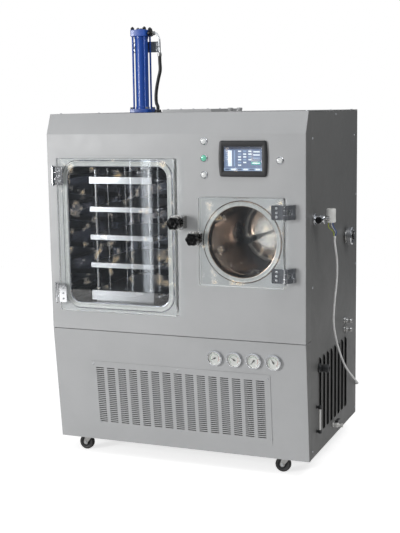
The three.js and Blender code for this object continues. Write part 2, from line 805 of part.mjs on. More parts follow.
piece('rear_panel', rearSheet(), darkGrey);

// The roof carries the press cylinder, a raised service cover and two small bleed caps.
function roofSheet() {
  const base = roofUnderside;
  const plate = block(-halfWidth, halfWidth, sideFront, cabinetDepth, base, cabinetHeight);
  const cover = block(
    roofCoverX - roofCoverWidth / 2, roofCoverX + roofCoverWidth / 2,
    roofCoverY, roofCoverY + roofCoverDepth, base + 1, cabinetHeight + roofCoverHeight,
  );
  const caps = bleedCapX.map((x) => turned(
    [[0, -1], [9, -1], [9, 6], [11, 7], [11, 15], [0, 16]],
    turnedUp, [x, bleedCapY, cabinetHeight], 10,
  ));
  const glandAt = [hoseRouteX, shelfMiddleY, cabinetHeight];
  const gland = round(24, -1, hoseGlandHeight, turnedUp, glandAt, 12);
  const bore = round(hoseDiameter + 1, -sheet - 1, hoseGlandHeight + 1, turnedUp, glandAt, 12);
  const ramHole = round(
    ramHoleDiameter, -sheet - 1, 1, turnedUp, [chamberX, shelfMiddleY, cabinetHeight], 20,
  );
  return cut(join(plate, cover, ...caps, gland), bore, ramHole);
}
piece('roof_panel', roofSheet(), darkGrey);

// ---------------------------------------------------------------- drying chamber
// A welded box with a flange that shows through the front sheet. The column on its roof
// takes the press load, and two saddles stand on the deck.
function buildChamber() {
  const bodyFront = sheet + 1;
  const inside = bodyFront + chamberWall;
  const wall = 2 * chamberWall;
  const outline = (w, h, r) => roundedRectangle(chamberX, chamberZ, w, h, r);
  const flange = outline(
    openingWidth + 2 * flangeRim, openingHeight + 2 * flangeRim, openingRadius + flangeRim,
  );
  const shell = outline(interiorWidth + wall, interiorHeight + wall, interiorRadius + chamberWall);
  const body = join(
    fromFront(flange, -flangeProud, flangeThickness - flangeProud),
    fromFront(shell, bodyFront, inside + interiorDepth + chamberWall),
    round(
      columnDiameter, chamberRoof - 1, roofUnderside - seatGap, turnedUp,
      [chamberX, shelfMiddleY, 0],
    ),
    ...saddleRows.map((y) => block(
      chamberX - interiorWidth / 2 + saddleInset, chamberX + interiorWidth / 2 - saddleInset,
      y, y + saddleThickness, deckTop + seatGap, chamberFloor - chamberWall / 2,
    )),
  );
  const ramAt = [chamberX, shelfMiddleY, 0];
  return cut(
    body,
    fromFront(outline(interiorWidth, interiorHeight, interiorRadius), inside, inside + interiorDepth),
    fromFront(outline(openingWidth, openingHeight, openingRadius), -flangeProud - 1, inside + 1),
    round(columnDiameter - 14, chamberRoof + ramSealHeight, cabinetHeight, turnedUp, ramAt),
    round(ramRod + 2 * slideGap, chamberRoof - 2 * chamberWall, cabinetHeight, turnedUp, ramAt),
    round(ductBore, chamberX + interiorWidth / 2 - 1, chamberX + interiorWidth / 2 + chamberWall + 1,
      turnedToRight, [0, ductY, trapZ]),
  );
}
piece('drying_chamber', buildChamber(), stainless);

const gasketFront = paneBack + seatGap;
const gasketRear = -flangeProud - seatGap;
function buildChamberGasket() {
  const rim = (edge) => roundedRectangle(
    chamberX, chamberZ, openingWidth + 2 * edge, openingHeight + 2 * edge, openingRadius + edge,
  );
  const outer = fromFront(rim(flangeRim - gasketInset), gasketFront, gasketRear);
  return outer.subtract(fromFront(rim(gasketInset), gasketFront - 1, gasketRear + 1));
}
piece('chamber_gasket', buildChamberGasket(), whiteRubber);

// ---------------------------------------------------------------- doors and latches
function doorPane({ x, z, width, height }) {
  return fromFront(roundedRectangle(x, z, width, height, paneRadius), paneFront, paneBack, 2);
}

// Square ear with rounded corners, screwed to the pane, that carries the latch knob.
function latchEar({ latchX, latchZ }) {
  const back = paneFront - seatGap;
  const outline = roundedRectangle(latchX, latchZ, earSize, earSize, 8);
  const hole = round(
    latchStud + 2 * slideGap, -back - 1, -back + earThickness + 1, turnedToFront,
    [latchX, 0, latchZ], 12,
  );
  return fromFront(outline, back - earThickness, back, 2).subtract(hole);
}

// Star knob: an outline whose radius swells and sinks round the axis, a stem and a stud.
function starKnob({ latchX, latchZ }) {
  const seat = -paneFront + seatGap + earThickness + seatGap;
  const crown = seat + knobStem;
  const steps = knobLobes * 4;
  const outline = Array.from({ length: steps }, (_, i) => {
    const angle = (2 * Math.PI * i) / steps;
    const radius = (knobDiameter / 2) * (1 - knobLobeDepth * (1 - Math.cos(knobLobes * angle)));
    return [latchX + radius * Math.cos(angle), latchZ + radius * Math.sin(angle)];
  });
  const at = [latchX, 0, latchZ];
  const hub = turned(
    [[0, seat], [11, seat], [9, seat + 8], [13, crown + 1], [17, crown + knobThickness],
      [13, crown + knobThickness + 4], [0, crown + knobThickness + 4]],
    turnedToFront, at, 10,
  );
  return join(
    fromFront(polygon(outline), -crown - knobThickness, -crown),
    hub,
    round(latchStud, -paneFront - latchStudReach, seat + 1, turnedToFront, at, 10),
  );
}

for (const plan of [chamberPlan, trapPlan]) {
  piece(`${plan.name}_door`, doorPane(plan), acrylic);
  plan.hingeLevels.forEach((level, i) => {
    piece(`${plan.name}_hinge_leaf_${['upper', 'lower'][i]}`, hingeLeaf(plan, level), chrome);
  });
  piece(`${plan.name}_latch_ear`, latchEar(plan), stainless);
  piece(`${plan.name}_latch_knob`, starKnob(plan), blackPlastic);
}

// ---------------------------------------------------------------- shelves and press
const guidePlaces = corners.map(([side, end]) => [
  chamberX + side * (shelfWidth / 2 - guideInset),
  shelfMiddleY + end * (shelfDepth / 2 - guideInset),
]);
const shelfBlock = (z0, z1) => block(
  chamberX - shelfWidth / 2, chamberX + shelfWidth / 2, shelfFront, shelfFront + shelfDepth, z0, z1,
);

// A heated plate with oil unions on its right edge and holes for the guide rods.
function slidingPlate(z0, thickness) {
  const z1 = z0 + thickness;
  const unions = unionRows.map((y) => turned(
    [[0, -4], [8, -4], [8, 16], [5, 18], [5, 30], [0, 30]],
    turnedToRight, [chamberX + shelfWidth / 2, y, (z0 + z1) / 2], 6,
  ));
  const holes = guidePlaces.map(([x, y]) => round(
    guideRod + 2 * slideGap, z0 - 1, z1 + 1, turnedUp, [x, y, 0], 8,
  ));
  return cut(join(shelfBlock(z0, z1), ...unions), ...holes);
}

function baseShelf() {
  const slabBottom = baseShelfLevel - baseShelfThickness;
  const bearers = saddleRows.map((y) => block(
    chamberX - shelfWidth / 2 + 12, chamberX + shelfWidth / 2 - 12,
    y - 60, y - 30, chamberFloor + seatGap, slabBottom + 1,
  ));
  const guides = guidePlaces.map(([x, y]) => round(
    guideRod, baseShelfLevel - 1, pressPlateTop + guideAbovePress, turnedUp, [x, y, 0], 8,
  ));
  return join(shelfBlock(slabBottom, baseShelfLevel), ...bearers, ...guides);
}
piece('base_shelf', baseShelf(), stainless);
['shelf_lower', 'shelf_middle', 'shelf_upper'].forEach((name, i) => {
  const top = baseShelfLevel + (i + 1) * shelfPitch;
  piece(name, slidingPlate(top - shelfThickness, shelfThickness), stainless);
});
piece('pressure_plate', slidingPlate(pressPlateBottom, pressPlateThickness), stainless);

// The ram: a piston in the cylinder, the polished rod, and a foot bolted to the press plate.
function buildRam() {
  const foot = pressPlateTop + seatGap;
  const top = barrelTop - pistonHeight;
  const rod = ramRod / 2;
  const piston = cylinderBore / 2 - slideGap;
  return turned(
    [[0, foot], [ramFlange / 2, foot], [ramFlange / 2, foot + 12], [rod + 4, foot + 14], [rod, foot + 20],
      [rod, top - pistonHeight], [piston, top - pistonHeight], [piston, top], [0, top]],
    turnedUp, [chamberX, shelfMiddleY, 0],
  );
}
piece('ram_rod', buildRam(), chrome);

// Barrel, base and tie rods of the cylinder, with a flat bracket clamped behind the rods.
function buildBarrel() {
  const at = [chamberX, shelfMiddleY, 0];
  const half = headSize / 2;
  const base = fromAbove(
    roundedRectangle(chamberX, shelfMiddleY, headSize + 14, headSize + 14, 6),
    cabinetHeight + seatGap, cylinderBaseTop, 2,
  );
  const rods = corners.map(([side, end]) => round(
    tieRod, cylinderBaseTop - 1, barrelTop - seatGap, turnedUp,
    [chamberX + side * (tieRodSpacing / 2), shelfMiddleY + end * (tieRodSpacing / 2), 0], 8,
  ));
  const bracketFront = shelfMiddleY + tieRodSpacing / 2 + 1;
  const bracket = block(
    chamberX - half - 16, chamberX + half + 38, bracketFront, bracketFront + 4,
    barrelTop - bracketDrop - bracketHeight, barrelTop - bracketDrop,
  );
  const barrel = round(cylinderOuter, cylinderBaseTop - 1, barrelTop - seatGap, turnedUp, at);
  return cut(
    join(base, barrel, ...rods, bracket),
    round(cylinderBore, cylinderBaseTop, barrelTop, turnedUp, at),
    round(ramRod + 2 * slideGap, cabinetHeight - 1, cylinderBaseTop + 1, turnedUp, at),
  );
}
piece('cylinder_barrel', buildBarrel(), cylinderBlue);

// The cylinder's head with its four nuts, and on its right side the oil port with the bent
// steel tube that leads to the hose.
function buildHead() {
  const top = barrelTop + headHeight;
  const nuts = corners.map(([side, end]) => {
    const [x, y] = [chamberX + side * (tieRodSpacing / 2), shelfMiddleY + end * (tieRodSpacing / 2)];
    return join(
      hexagon(tieNut, top - 1, top + tieNutHeight - 3, x, y),
      round(tieRod, top - 1, top + tieNutHeight, turnedUp, [x, y, 0], 8),
    );
  });
  const shape = roundedRectangle(chamberX, shelfMiddleY, headSize, headSize, 5);
  return join(fromAbove(shape, barrelTop, top, 2), ...nuts, portElbow());
}

function portElbow() {
  const z = barrelTop + headHeight * 0.45;
  const start = chamberX + headSize / 2;
  const bend = tube([
    [start + 20, shelfMiddleY, z], [start + 30, shelfMiddleY, z],
    [hoseTopX - 6, shelfMiddleY, z - 12], [hoseTopX, shelfMiddleY, z - 32],
    [hoseTopX, shelfMiddleY, hoseTopZ + 14],
  ], 8, 8, 8);
  return join(
    block(start - 1, start + 14, shelfMiddleY - 13, shelfMiddleY + 13, z - 11, z + 11),
    round(17, 13, 26, turnedToRight, [start, shelfMiddleY, z], 6),
    bend,
    round(17, hoseTopZ + seatGap, hoseTopZ + 18, turnedUp, [hoseTopX, shelfMiddleY, 0], 12),
  );
}
piece('cylinder_head', buildHead(), cylinderBlue);

// ---------------------------------------------------------------- cold trap
// A turned drum with a dished rear head, a boss inside it that carries the centre tube, and a
// hole in its left side for the vapour duct.
const dish = (radius, start, depth) => [0.5, 0.86].map((share) => [
  radius * share, -(start + depth * Math.sqrt(1 - share * share)),
]);
const ductAt = [0, ductY, trapZ];

function buildTrap() {
  const [bore, outer] = [trapBore / 2, trapOuter / 2];
  const cylinderEnd = trapDepth - trapDish;
  const flangeBack = flangeProud - flangeThickness;
  const profile = [
    [0, -trapDepth - trapWall], ...dish(outer, cylinderEnd, trapDish + trapWall),
    [outer, -cylinderEnd], [outer, flangeBack], [trapFlange / 2, flangeBack],
    [trapFlange / 2, flangeProud], [bore, flangeProud], [bore, -cylinderEnd],
    ...dish(bore, cylinderEnd, trapDish).reverse(), [0, -trapDepth],
  ];
  const at = [trapX, 0, trapZ];
  const boss = round(centreSleeve, -trapDepth - 1, -trapDepth + bossHeight, turnedToFront, at, 12);
  return cut(
    join(turned(profile, turnedToFront, at, trapFacets), boss),
    round(ductBore, trapX - outer - 1, trapX - bore / 2, turnedToRight, ductAt),
  );
}
piece('trap_drum', buildTrap(), stainless);

// The short pipe between the chamber's side wall and the drum, saddle-cut to the drum.
function buildDuct() {
  const chamberSide = chamberX + interiorWidth / 2 + chamberWall + seatGap;
  const pipe = ring(ductBore, ductBore + 2 * ductWall, chamberSide, trapX, turnedToRight, ductAt, 16);
  return pipe.subtract(round(
    trapOuter + 2 * seatGap, -trapDepth, 0, turnedToFront, [trapX, 0, trapZ], trapFacets,
  ));
}
piece('vapour_duct', buildDuct(), stainless);

function buildCentreTube() {
  const rear = trapDepth - bossHeight - seatGap;
  return turned(
    [[0, -rear], [7, -rear], [7, -sleeveEnd], [centreSleeve / 2, -sleeveEnd],
      [centreSleeve / 2, -centreTubeStart - 14], [13.5, -centreTubeStart - 12],
      [13.5, -centreTubeStart - 2], [11, -centreTubeStart], [0, -centreTubeStart]],
    turnedToFront, [trapX, 0, trapZ], 12,
  );
}
piece('trap_centre_tube', buildCentreTube(), stainless);
piece('trap_gasket', ring(
  trapBore + 2 * gasketInset, trapFlange - 2 * gasketInset, -gasketRear, -gasketFront,
  turnedToFront, [trapX, 0, trapZ], trapFacets,
), whiteRubber);

// ---------------------------------------------------------------- touch screen and buttons
// The bezel's left and right edges bow outwards.
function buildScreen() {
  const [w, h] = [screenWidth / 2 - screenBow, screenHeight / 2];
  const shape = new THREE.Shape();
  shape.moveTo(screenX - w, screenZ - h);
  shape.lineTo(screenX + w, screenZ - h);
  shape.quadraticCurveTo(screenX + w + 2 * screenBow, screenZ, screenX + w, screenZ + h);
  shape.lineTo(screenX - w, screenZ + h);
  shape.quadraticCurveTo(screenX - w - 2 * screenBow, screenZ, screenX - w, screenZ - h);
  const rim = 2 * (screenHousingRim - cutoutGap);
  const housing = roundedRectangle(screenX, screenZ, displayWidth + rim, displayHeight + rim, 3);
  const display = roundedRectangle(screenX, screenZ, displayWidth, displayHeight, 1);
  return cut(
    join(fromFront(shape, -screenProud, -seatGap), fromFront(housing, -1, screenHousingDepth, 2)),
    fromFront(display, -screenProud - 1, -screenProud + screenRecess, 1),
  );
}
piece('touch_screen', buildScreen(), blackPlastic);

const buttonNames = ['button_white_upper', 'button_green', 'button_white_lower', 'button_white_side'];
buttonPlaces.forEach(([x, z], i) => {
  const r = buttonCap / 2;
  const cap = turned(
    [[0, -capBehind], [r, -capBehind], [r, capProud - 2.5], [r - 2, capProud - 1], [0, capProud]],
    turnedToFront, [x, 0, z], 12,
  );
  piece(buttonNames[i], cap, i === 1 ? greenLens : whitePlastic);
});

// ---------------------------------------------------------------- gauges
gaugeColumns.forEach((x, i) => {
  const [rim, dial, barrel] = [gaugeBezel / 2, gaugeBezel / 2 - 4.5, gaugeCase / 2];
  const gauge = turned(
    [[0, gaugeProud - 2], [dial, gaugeProud - 2], [dial + 1, gaugeProud + 1], [rim, gaugeProud],
      [rim, seatGap], [barrel, seatGap], [barrel, -gaugeBehind], [0, -gaugeBehind]],
    turnedToFront, [x, 0, downTheLean(gaugeZ)], 14,
  );
  piece(`gauge_${i + 1}`, gauge, chrome, leaningFront);
});

// ---------------------------------------------------------------- casters
const wheelRadius = wheelDiameter / 2;
const axleDrop = casterTop - (wheelRadius - groundClearance);

function casterFork() {
  const cheek = polygon([
    [-16, -10], [14, -10], [-casterTrail + 9, -axleDrop - 8], [-casterTrail - 9, -axleDrop - 8],
  ]);
  const inner = wheelWidth / 2 + 1.2;
  const outer = inner + forkThickness;
  return join(
    turned([[0, -12], [25, -12], [25, -2], [23, 0], [0, 0]], turnedUp, [0, 0, 0], 12),
    block(-18, 16, -outer, outer, -16, -9),
    fromFront(cheek, inner, outer),
    fromFront(cheek, -outer, -inner),
    round(8, -outer - 2, outer + 2, turnedToRear, [-casterTrail, 0, -axleDrop], 8),
  );
}

// The tread is turned half a facet round its axle, so that a flat facet meets the floor.
function casterWheel() {
  const facets = 16;
  const tread = wheelRadius / Math.cos(Math.PI / facets);
  const half = wheelWidth / 2;
  const bore = 4 + slideGap;
  const profile = [
    [bore, -half], [tread - 5, -half], [tread, 3 - half], [tread, half - 3], [tread - 5, half],
    [bore, half], [bore, -half],
  ];
  const halfFacet = new THREE.Matrix4().makeRotationY(Math.PI / facets);
  return turned(profile, turnedToRear.clone().multiply(halfFacet), [0, 0, 0], facets);
}

const casterNames = ['front_left', 'rear_left', 'front_right', 'rear_right'];
casterPlaces.forEach(([x, y], i) => {
  const swivel = new THREE.Group();
  swivel.position.set(x, y, casterTop);
  cabinet.add(swivel);
  piece(`caster_fork_${casterNames[i]}`, casterFork(), frameBlack, swivel);
  const wheel = piece(`caster_wheel_${casterNames[i]}`, casterWheel(), tyreBlack, swivel);
  wheel.position.set(-casterTrail, 0, -axleDrop);
});

// ---------------------------------------------------------------- fittings on the right side
// Clamped vacuum flange: a claw ring with four windows round an open pipe.
function vacuumPort() {
  const at = [halfWidth, portY, portZ];
  const neck = portCollar / 2;
  const body = turned(
    [[portBore / 2, -10], [neck, -10], [neck, seatGap], [30, seatGap], [30, 4], [neck, 5],
      [neck, 12], [38, 13], [38, 30], [32, 33], [portBore / 2, 33], [portBore / 2, -10]],
    turnedToRight, at, 14,
  );
  const windows = corners.map(([up, along]) => round(
    15, 8, 40, turnedToRight, [halfWidth, portY + along * 20, portZ + up * 20], 8,
  ));
  return cut(body, ...windows);
}

// Inlet valve: a stepped body standing on the sheet, with a boss for its hand knob.
function inletValve() {
  return join(
    turned(
      [[0, seatGap], [22, seatGap], [22, 6], [12, 7], [12, 14], [17, 15], [17, 42], [15, 44], [0, 44]],
      turnedToRight, [halfWidth, valveY, valveZ], 14,
    ),
    round(18, 0, valveBossReach, turnedToFront, [halfWidth + valveKnobOut, valveY, valveZ], 12),
  );
}

function valveKnob() {
  const start = valveBossReach + seatGap;
  return turned(
    [[0, start], [8, start], [8, start + 3], [13, start + 4], [13, start + 14], [11, start + 16],
      [0, start + 16]],
    turnedToFront, [halfWidth + valveKnobOut, valveY, valveZ], 14,
  );
}

// Solenoid coil with its arm to the valve, its three leads and the ferrule of the cable.
function solenoidCoil() {
  const [x, y, z] = [halfWidth + coilOut, coilY, coilZ];
  const foot = z - coilHeight / 2;
  const leads = leadOffsets.map(([dx, dy]) => tube([
    [x + dx, y + dy, foot + 3], [x + dx * 1.5, y + dy * 1.6, foot - 16],
    [cableStart[0] + dx * 0.9, cableStart[1] + dy * 0.9, cableStart[2] + 26],
    [cableStart[0] + dx * 0.3, cableStart[1] + dy * 0.3, cableStart[2] + 6],
  ], 3.6, 5, 5));
  return join(
    turned(
      [[0, -coilHeight / 2], [16, -coilHeight / 2], [18, 3 - coilHeight / 2], [18, coilHeight / 2 - 3],
        [16, coilHeight / 2], [0, coilHeight / 2]],
      turnedUp, [x, y, z], 12,
    ),
    round(18, 44 + seatGap, coilOut, turnedToRight, [halfWidth, valveY + 5, valveZ + 4], 12),
    ...leads,
    round(cableDiameter + 2, seatGap, 9, turnedUp, cableStart, 10),
  );
}
piece('vacuum_port', vacuumPort(), stainless);
piece('inlet_valve', inletValve(), stainless);
piece('inlet_valve_knob', valveKnob(), blackPlastic);
piece('solenoid_coil', solenoidCoil(), whitePlastic);

// Drain cock near the foot of the side, with a quarter-turn lever on top.
piece('drain_valve', turned(
  [[0, seatGap], [10, seatGap], [10, 5], [7, 6], [11, 12], [11, 22], [7, 27], [6, 36], [9, 43], [0, 43]],
  turnedToRight, [halfWidth, drainY, drainZ], 10,
), whitePlastic);
piece('drain_lever', join(
  round(14, 11 + seatGap, 20, turnedUp, [halfWidth + 17, drainY, drainZ], 12),
  block(halfWidth + 12, halfWidth + 22, drainY - 6, drainY + 34, drainZ + 15, drainZ + 20),
), blackPlastic);

// ---------------------------------------------------------------- machinery in the lower bay
const bayLevel = bayFloor + seatGap;
// Hermetic compressor: a domed can on a mounting plate.
function compressor() {
  const at = [compressorX, compressorY, bayLevel];
  return join(
    turned(
      [[0, 8], [84, 8], [104, 50], [104, 150], [92, 205], [62, 236], [0, 246]],
      turnedUp, at, 16,
    ),
    block(at[0] - 110, at[0] + 110, at[1] - 90, at[1] + 90, bayLevel, bayLevel + 10),
    tube([
      [at[0] + 90, at[1], bayLevel + 170], [at[0] + 128, at[1], bayLevel + 178],
      [at[0] + 136, at[1], bayLevel + 240], [at[0] + 128, at[1], bayLevel + 318],
    ], 14, 6, 8),
  );
}

// Air-cooled condenser behind the grille: a finned core in a frame of plates.
function condenser() {
  const pitch = condenserWidth / condenserFins;
  const [left, right] = [grilleX - condenserWidth / 2, grilleX + condenserWidth / 2];
  const [front, rear] = [condenserY, condenserY + condenserDepth];
  const root = rear - condenserDepth * coreShare;
  const comb = [[left, rear], [left, front]];
  for (let i = 0; i < condenserFins; i += 1) {
    const fin = left + i * pitch;
    if (i > 0) comb.push([fin, root], [fin, front]);
    comb.push([fin + pitch * finShare, front], [fin + pitch * finShare, root]);
  }
  comb.push([right, root], [right, rear]);
  const [plate, top] = [condenserPlate, bayLevel + condenserHeight];
  const rows = [front - plate, rear + plate];
  return join(
    fromAbove(polygon(comb), bayLevel + plate / 2, top - plate / 2),
    block(left - plate, right + plate, ...rows, bayLevel, bayLevel + plate),
    block(left - plate, right + plate, ...rows, top - plate, top),
    block(left - plate, left + plate / 2, ...rows, bayLevel, top),
    block(right - plate / 2, right + plate, ...rows, bayLevel, top),
  );
}

// Hydraulic power unit: an oil tank with its motor upright on the lid.
function hydraulicUnit() {
  const [x, y] = [hydraulicX, cabinetDepth - hydraulicFromRear];
  const [wide, deep] = tankHalf;
  const lid = 6;
  const top = bayLevel + tankHeight;
  return join(
    block(x - wide, x + wide, y - deep, y + deep, bayLevel, top),
    block(x - wide - lid, x + wide + lid, y - deep - lid, y + deep + lid, top - 2, top - 2 + lid),
    turned(
      [[0, 0], [70, 0], [70, 8], [58, 12], [58, 120], [50, 134], [0, 134]],
      turnedUp, [x, y, top], 14,
    ),
  );
}
piece('compressor', compressor(), frameBlack);
piece('condenser', condenser(), copper);
piece('hydraulic_unit', hydraulicUnit(), cylinderBlue);

// ---------------------------------------------------------------- free cable and hose
// The valve cable hangs down the right side, passes the rear corner and turns back into
// its gland in the rear sheet.
const valveCableRoute = [
  cableStart,
  [halfWidth + 70, 156, 862],
  [halfWidth + 70, 168, 838],
  [halfWidth + 67, 200, 790],
  [halfWidth + 62, 224, 732],
  [halfWidth + 57, 231, 680],
  [halfWidth + 51, 234, 630],
  [halfWidth + 46, 238, 580],
  [halfWidth + 42, 248, 535],
  [halfWidth + 39, 272, 490],
  [halfWidth + 37, 312, 440],
  [halfWidth + 34, 356, 398],
  [halfWidth + 31, 412, 350],
  [halfWidth + 27, 484, 298],
  [halfWidth + 24, 568, 248],
  [halfWidth + 20, 662, 200],
  [halfWidth + 16, 740, 162],
  [halfWidth + 10, 796, 138],
  [halfWidth - 4, 836, 124],
  [halfWidth - 26, 860, 118],
  [halfWidth - 52, 862, 116],
  [halfWidth - 74, 846, 115],
  [cableGlandX, cabinetDepth + glandLength + 14, cableGlandZ],
  [cableGlandX, cabinetDepth + glandLength + seatGap, cableGlandZ],
];
piece('valve_cable', tube(valveCableRoute, cableDiameter, 46, 8), whitePlastic);

// The press hose leaves the bent tube and drops in a slack curve into the roof gland.
const pressHoseRoute = [
  [hoseTopX, shelfMiddleY, hoseTopZ],
  [hoseTopX, shelfMiddleY, hoseTopZ - 20],
  [hoseTopX + 1, shelfMiddleY, hoseTopZ - 56],
  [hoseTopX - 7, shelfMiddleY, hoseTopZ - 88],
  [hoseTopX - 15, shelfMiddleY, hoseTopZ - 122],
  [hoseTopX - 20, shelfMiddleY, hoseTopZ - 158],
  [hoseTopX - 19, shelfMiddleY, hoseTopZ - 190],
  [hoseRouteX, shelfMiddleY, cabinetHeight + hoseGlandHeight + 14],
  [hoseRouteX, shelfMiddleY, cabinetHeight + hoseGlandHeight + seatGap],
];
piece('press_hose', tube(pressHoseRoute, hoseDiameter, 10, 10), hoseRubber);

// ---------------------------------------------------------------- placing
// The origin lies on the floor under the middle of the box round everything but the cable
// and the hose.
const freeRuns = ['valve_cable', 'press_hose'];
const group = new THREE.Group();
group.add(cabinet);
group.updateMatrixWorld(true);
const floorPlan = new THREE.Box3();
cabinet.traverse((mesh) => {
  if (mesh.isMesh && !freeRuns.includes(mesh.name)) floorPlan.expandByObject(mesh, true);
});
const middle = floorPlan.getCenter(new THREE.Vector3());
group.position.set(-middle.x, -middle.y, -floorPlan.min.z);

export default group;
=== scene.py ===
"""Looks of a floor-standing freeze dryer with a stoppering press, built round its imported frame.

Sizes and places are in millimetres in the cabinet's own frame: X to the right from the
cabinet's middle, Y to the rear from the upright front face, Z up from the lower edge of
the sheet metal. CABINET turns them into the frame's metres. Each sub-assembly is a class
with its sizes as fields, and main() builds them in order.
"""

import logging
import math
from dataclasses import dataclass, field
from enum import Enum
from typing import Callable, Iterable, Sequence

import bmesh
import bpy
import numpy as np
from mathutils import Euler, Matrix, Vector
from mathutils.geometry import delaunay_2d_cdt


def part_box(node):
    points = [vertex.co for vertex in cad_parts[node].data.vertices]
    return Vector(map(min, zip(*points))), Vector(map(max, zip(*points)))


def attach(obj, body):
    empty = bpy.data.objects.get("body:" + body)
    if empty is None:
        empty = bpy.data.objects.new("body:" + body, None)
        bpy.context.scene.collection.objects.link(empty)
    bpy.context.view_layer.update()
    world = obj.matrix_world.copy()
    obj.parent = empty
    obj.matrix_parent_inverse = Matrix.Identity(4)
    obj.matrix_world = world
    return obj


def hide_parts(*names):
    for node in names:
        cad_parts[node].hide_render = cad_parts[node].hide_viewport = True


LOG = logging.getLogger("freeze_dryer")
Array = np.ndarray
Object = bpy.types.Object
Node = bpy.types.Node
Socket = bpy.types.NodeSocket
Tree = bpy.types.NodeTree
Spot = tuple[float, float]
Point = tuple[float, float, float]

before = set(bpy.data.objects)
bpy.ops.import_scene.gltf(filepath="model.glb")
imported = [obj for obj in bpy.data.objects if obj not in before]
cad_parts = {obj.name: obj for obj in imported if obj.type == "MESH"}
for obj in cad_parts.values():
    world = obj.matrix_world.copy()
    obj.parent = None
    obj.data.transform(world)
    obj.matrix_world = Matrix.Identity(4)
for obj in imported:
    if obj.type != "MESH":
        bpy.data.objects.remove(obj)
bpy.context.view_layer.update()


# ------------------------------------------------------------------ places
def _corner(node: str, end: int, axis: int) -> float:
    """Return one coordinate in metres of a CAD node's lowest (0) or highest (1) corner."""
    return float(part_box(node)[end][axis])


@dataclass(frozen=True)
class CabinetPlace:
    """Where the cabinet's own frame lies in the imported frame, in metres."""

    x: float
    y: float
    z: float

    def metres(self, points: Array) -> Array:
        """Turn (n, 3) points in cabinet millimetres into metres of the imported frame."""
        return np.asarray(points, float) * 0.001 + np.array([self.x, self.y, self.z])


DEPTH = 800.0
HALF_WIDTH = 552.0
HEIGHT = 1370.0
SEAM = 482.0
TOE_SETBACK = 48.0
CABINET = CabinetPlace(
    x=(_corner("roof_panel", 0, 0) + _corner("roof_panel", 1, 0)) / 2,
    y=_corner("left_side_panel", 1, 1) - DEPTH / 1000,
    z=_corner("left_side_panel", 0, 2),
)
TOE_ANGLE = math.atan2(TOE_SETBACK, SEAM)


def leaning(points: Array) -> Array:
    """Lean upright points with the lower front.

    The lower front turns about the seam line: y' = y cos a - z sin a and
    z' = seam + y sin a + z cos a, where z is measured from the seam.

    Args:
        points: (n, 3) points, with Z from the seam.

    Returns:
        The leaning points.
    """
    y, z = points[:, 1], points[:, 2]
    c, s = math.cos(TOE_ANGLE), math.sin(TOE_ANGLE)
    return np.stack([points[:, 0], y * c - z * s, SEAM + y * s + z * c], axis=1)


class Facing(Enum):
    """Directions that a turned or extruded shape may face: (first, second, outward) axes."""

    FRONT = ((1, 0, 0), (0, 0, 1), (0, -1, 0))
    REAR = ((-1, 0, 0), (0, 0, 1), (0, 1, 0))
    RIGHT = ((0, 1, 0), (0, 0, 1), (1, 0, 0))
    LEFT = ((0, -1, 0), (0, 0, 1), (-1, 0, 0))
    UP = ((1, 0, 0), (0, 1, 0), (0, 0, 1))
    DOWN = ((1, 0, 0), (0, -1, 0), (0, 0, -1))

    def place(self, local: Array, at: Point) -> Array:
        """Carry local (first, second, outward) coordinates to the point at."""
        return np.asarray(at, float) + local @ np.array(self.value, float)


FRONT, REAR, RIGHT, LEFT, UP, DOWN = Facing
MIDDLE = (0.0, 0.0, 0.0)


def corners(x: float, y: float, dx: float, dy: float) -> list[Spot]:
    """The four places at dx and dy to either side of a middle."""
    return [(x + i * dx, y + j * dy) for i in (-1, 1) for j in (-1, 1)]


# ------------------------------------------------------------------ shapes
@dataclass
class Shape:
    """Points in cabinet millimetres and faces that index them."""

    points: Array
    faces: list[list[int]]

    def __add__(self, other: "Shape") -> "Shape":
        """Put two shapes in one mesh, side by side.

        Args:
            other: the shape to join.

        Returns:
            Both shapes as one.
        """
        shift = len(self.points)
        moved = [[i + shift for i in face] for face in other.faces]
        return Shape(np.vstack([self.points, other.points]), self.faces + moved)

    def changed(self, change: Callable[[Array], Array]) -> "Shape":
        """Return a copy whose points have gone through change."""
        return Shape(change(self.points), self.faces)

    def facing(self, way: Facing) -> "Shape":
        """Return a copy whose flat coordinates (across, up, outward) look one way."""
        return self.changed(lambda points: way.place(points, MIDDLE))


def together(shapes: Iterable[Shape]) -> Shape:
    """Join several shapes into one mesh."""
    first, *rest = shapes
    return sum(rest, first)


def grid_faces(rows: int, columns: int, wrap_rows: bool = False,
               wrap_columns: bool = False) -> list[list[int]]:
    """Number the quads of a grid of points.

    Args:
        rows: rows of points.
        columns: points in a row.
        wrap_rows: True where the last row joins the first.
        wrap_columns: True where each row's end joins its start.

    Returns:
        Four point numbers for each quad.
    """
    row = np.arange(rows if wrap_rows else rows - 1)
    column = np.arange(columns if wrap_columns else columns - 1)
    r, c = np.meshgrid(row, column, indexing="ij")
    r1, c1 = (r + 1) % rows, (c + 1) % columns
    quads = np.stack([r * columns + c, r * columns + c1, r1 * columns + c1, r1 * columns + c], -1)
    return quads.reshape(-1, 4).tolist()


def loft(sections: Array, ring: bool = False) -> Shape:
    """Join closed sections into one skin.

    Args:
        sections: (k, n, 3) points, n round each of k sections.
        ring: True where the last section joins the first, else both ends are capped.

    Returns:
        The closed shape.
    """
    k, n = sections.shape[:2]
    faces = grid_faces(k, n, ring, True)
    if not ring:
        faces += [list(range(n))[::-1], [(k - 1) * n + i for i in range(n)]]
    return Shape(sections.reshape(-1, 3), faces)


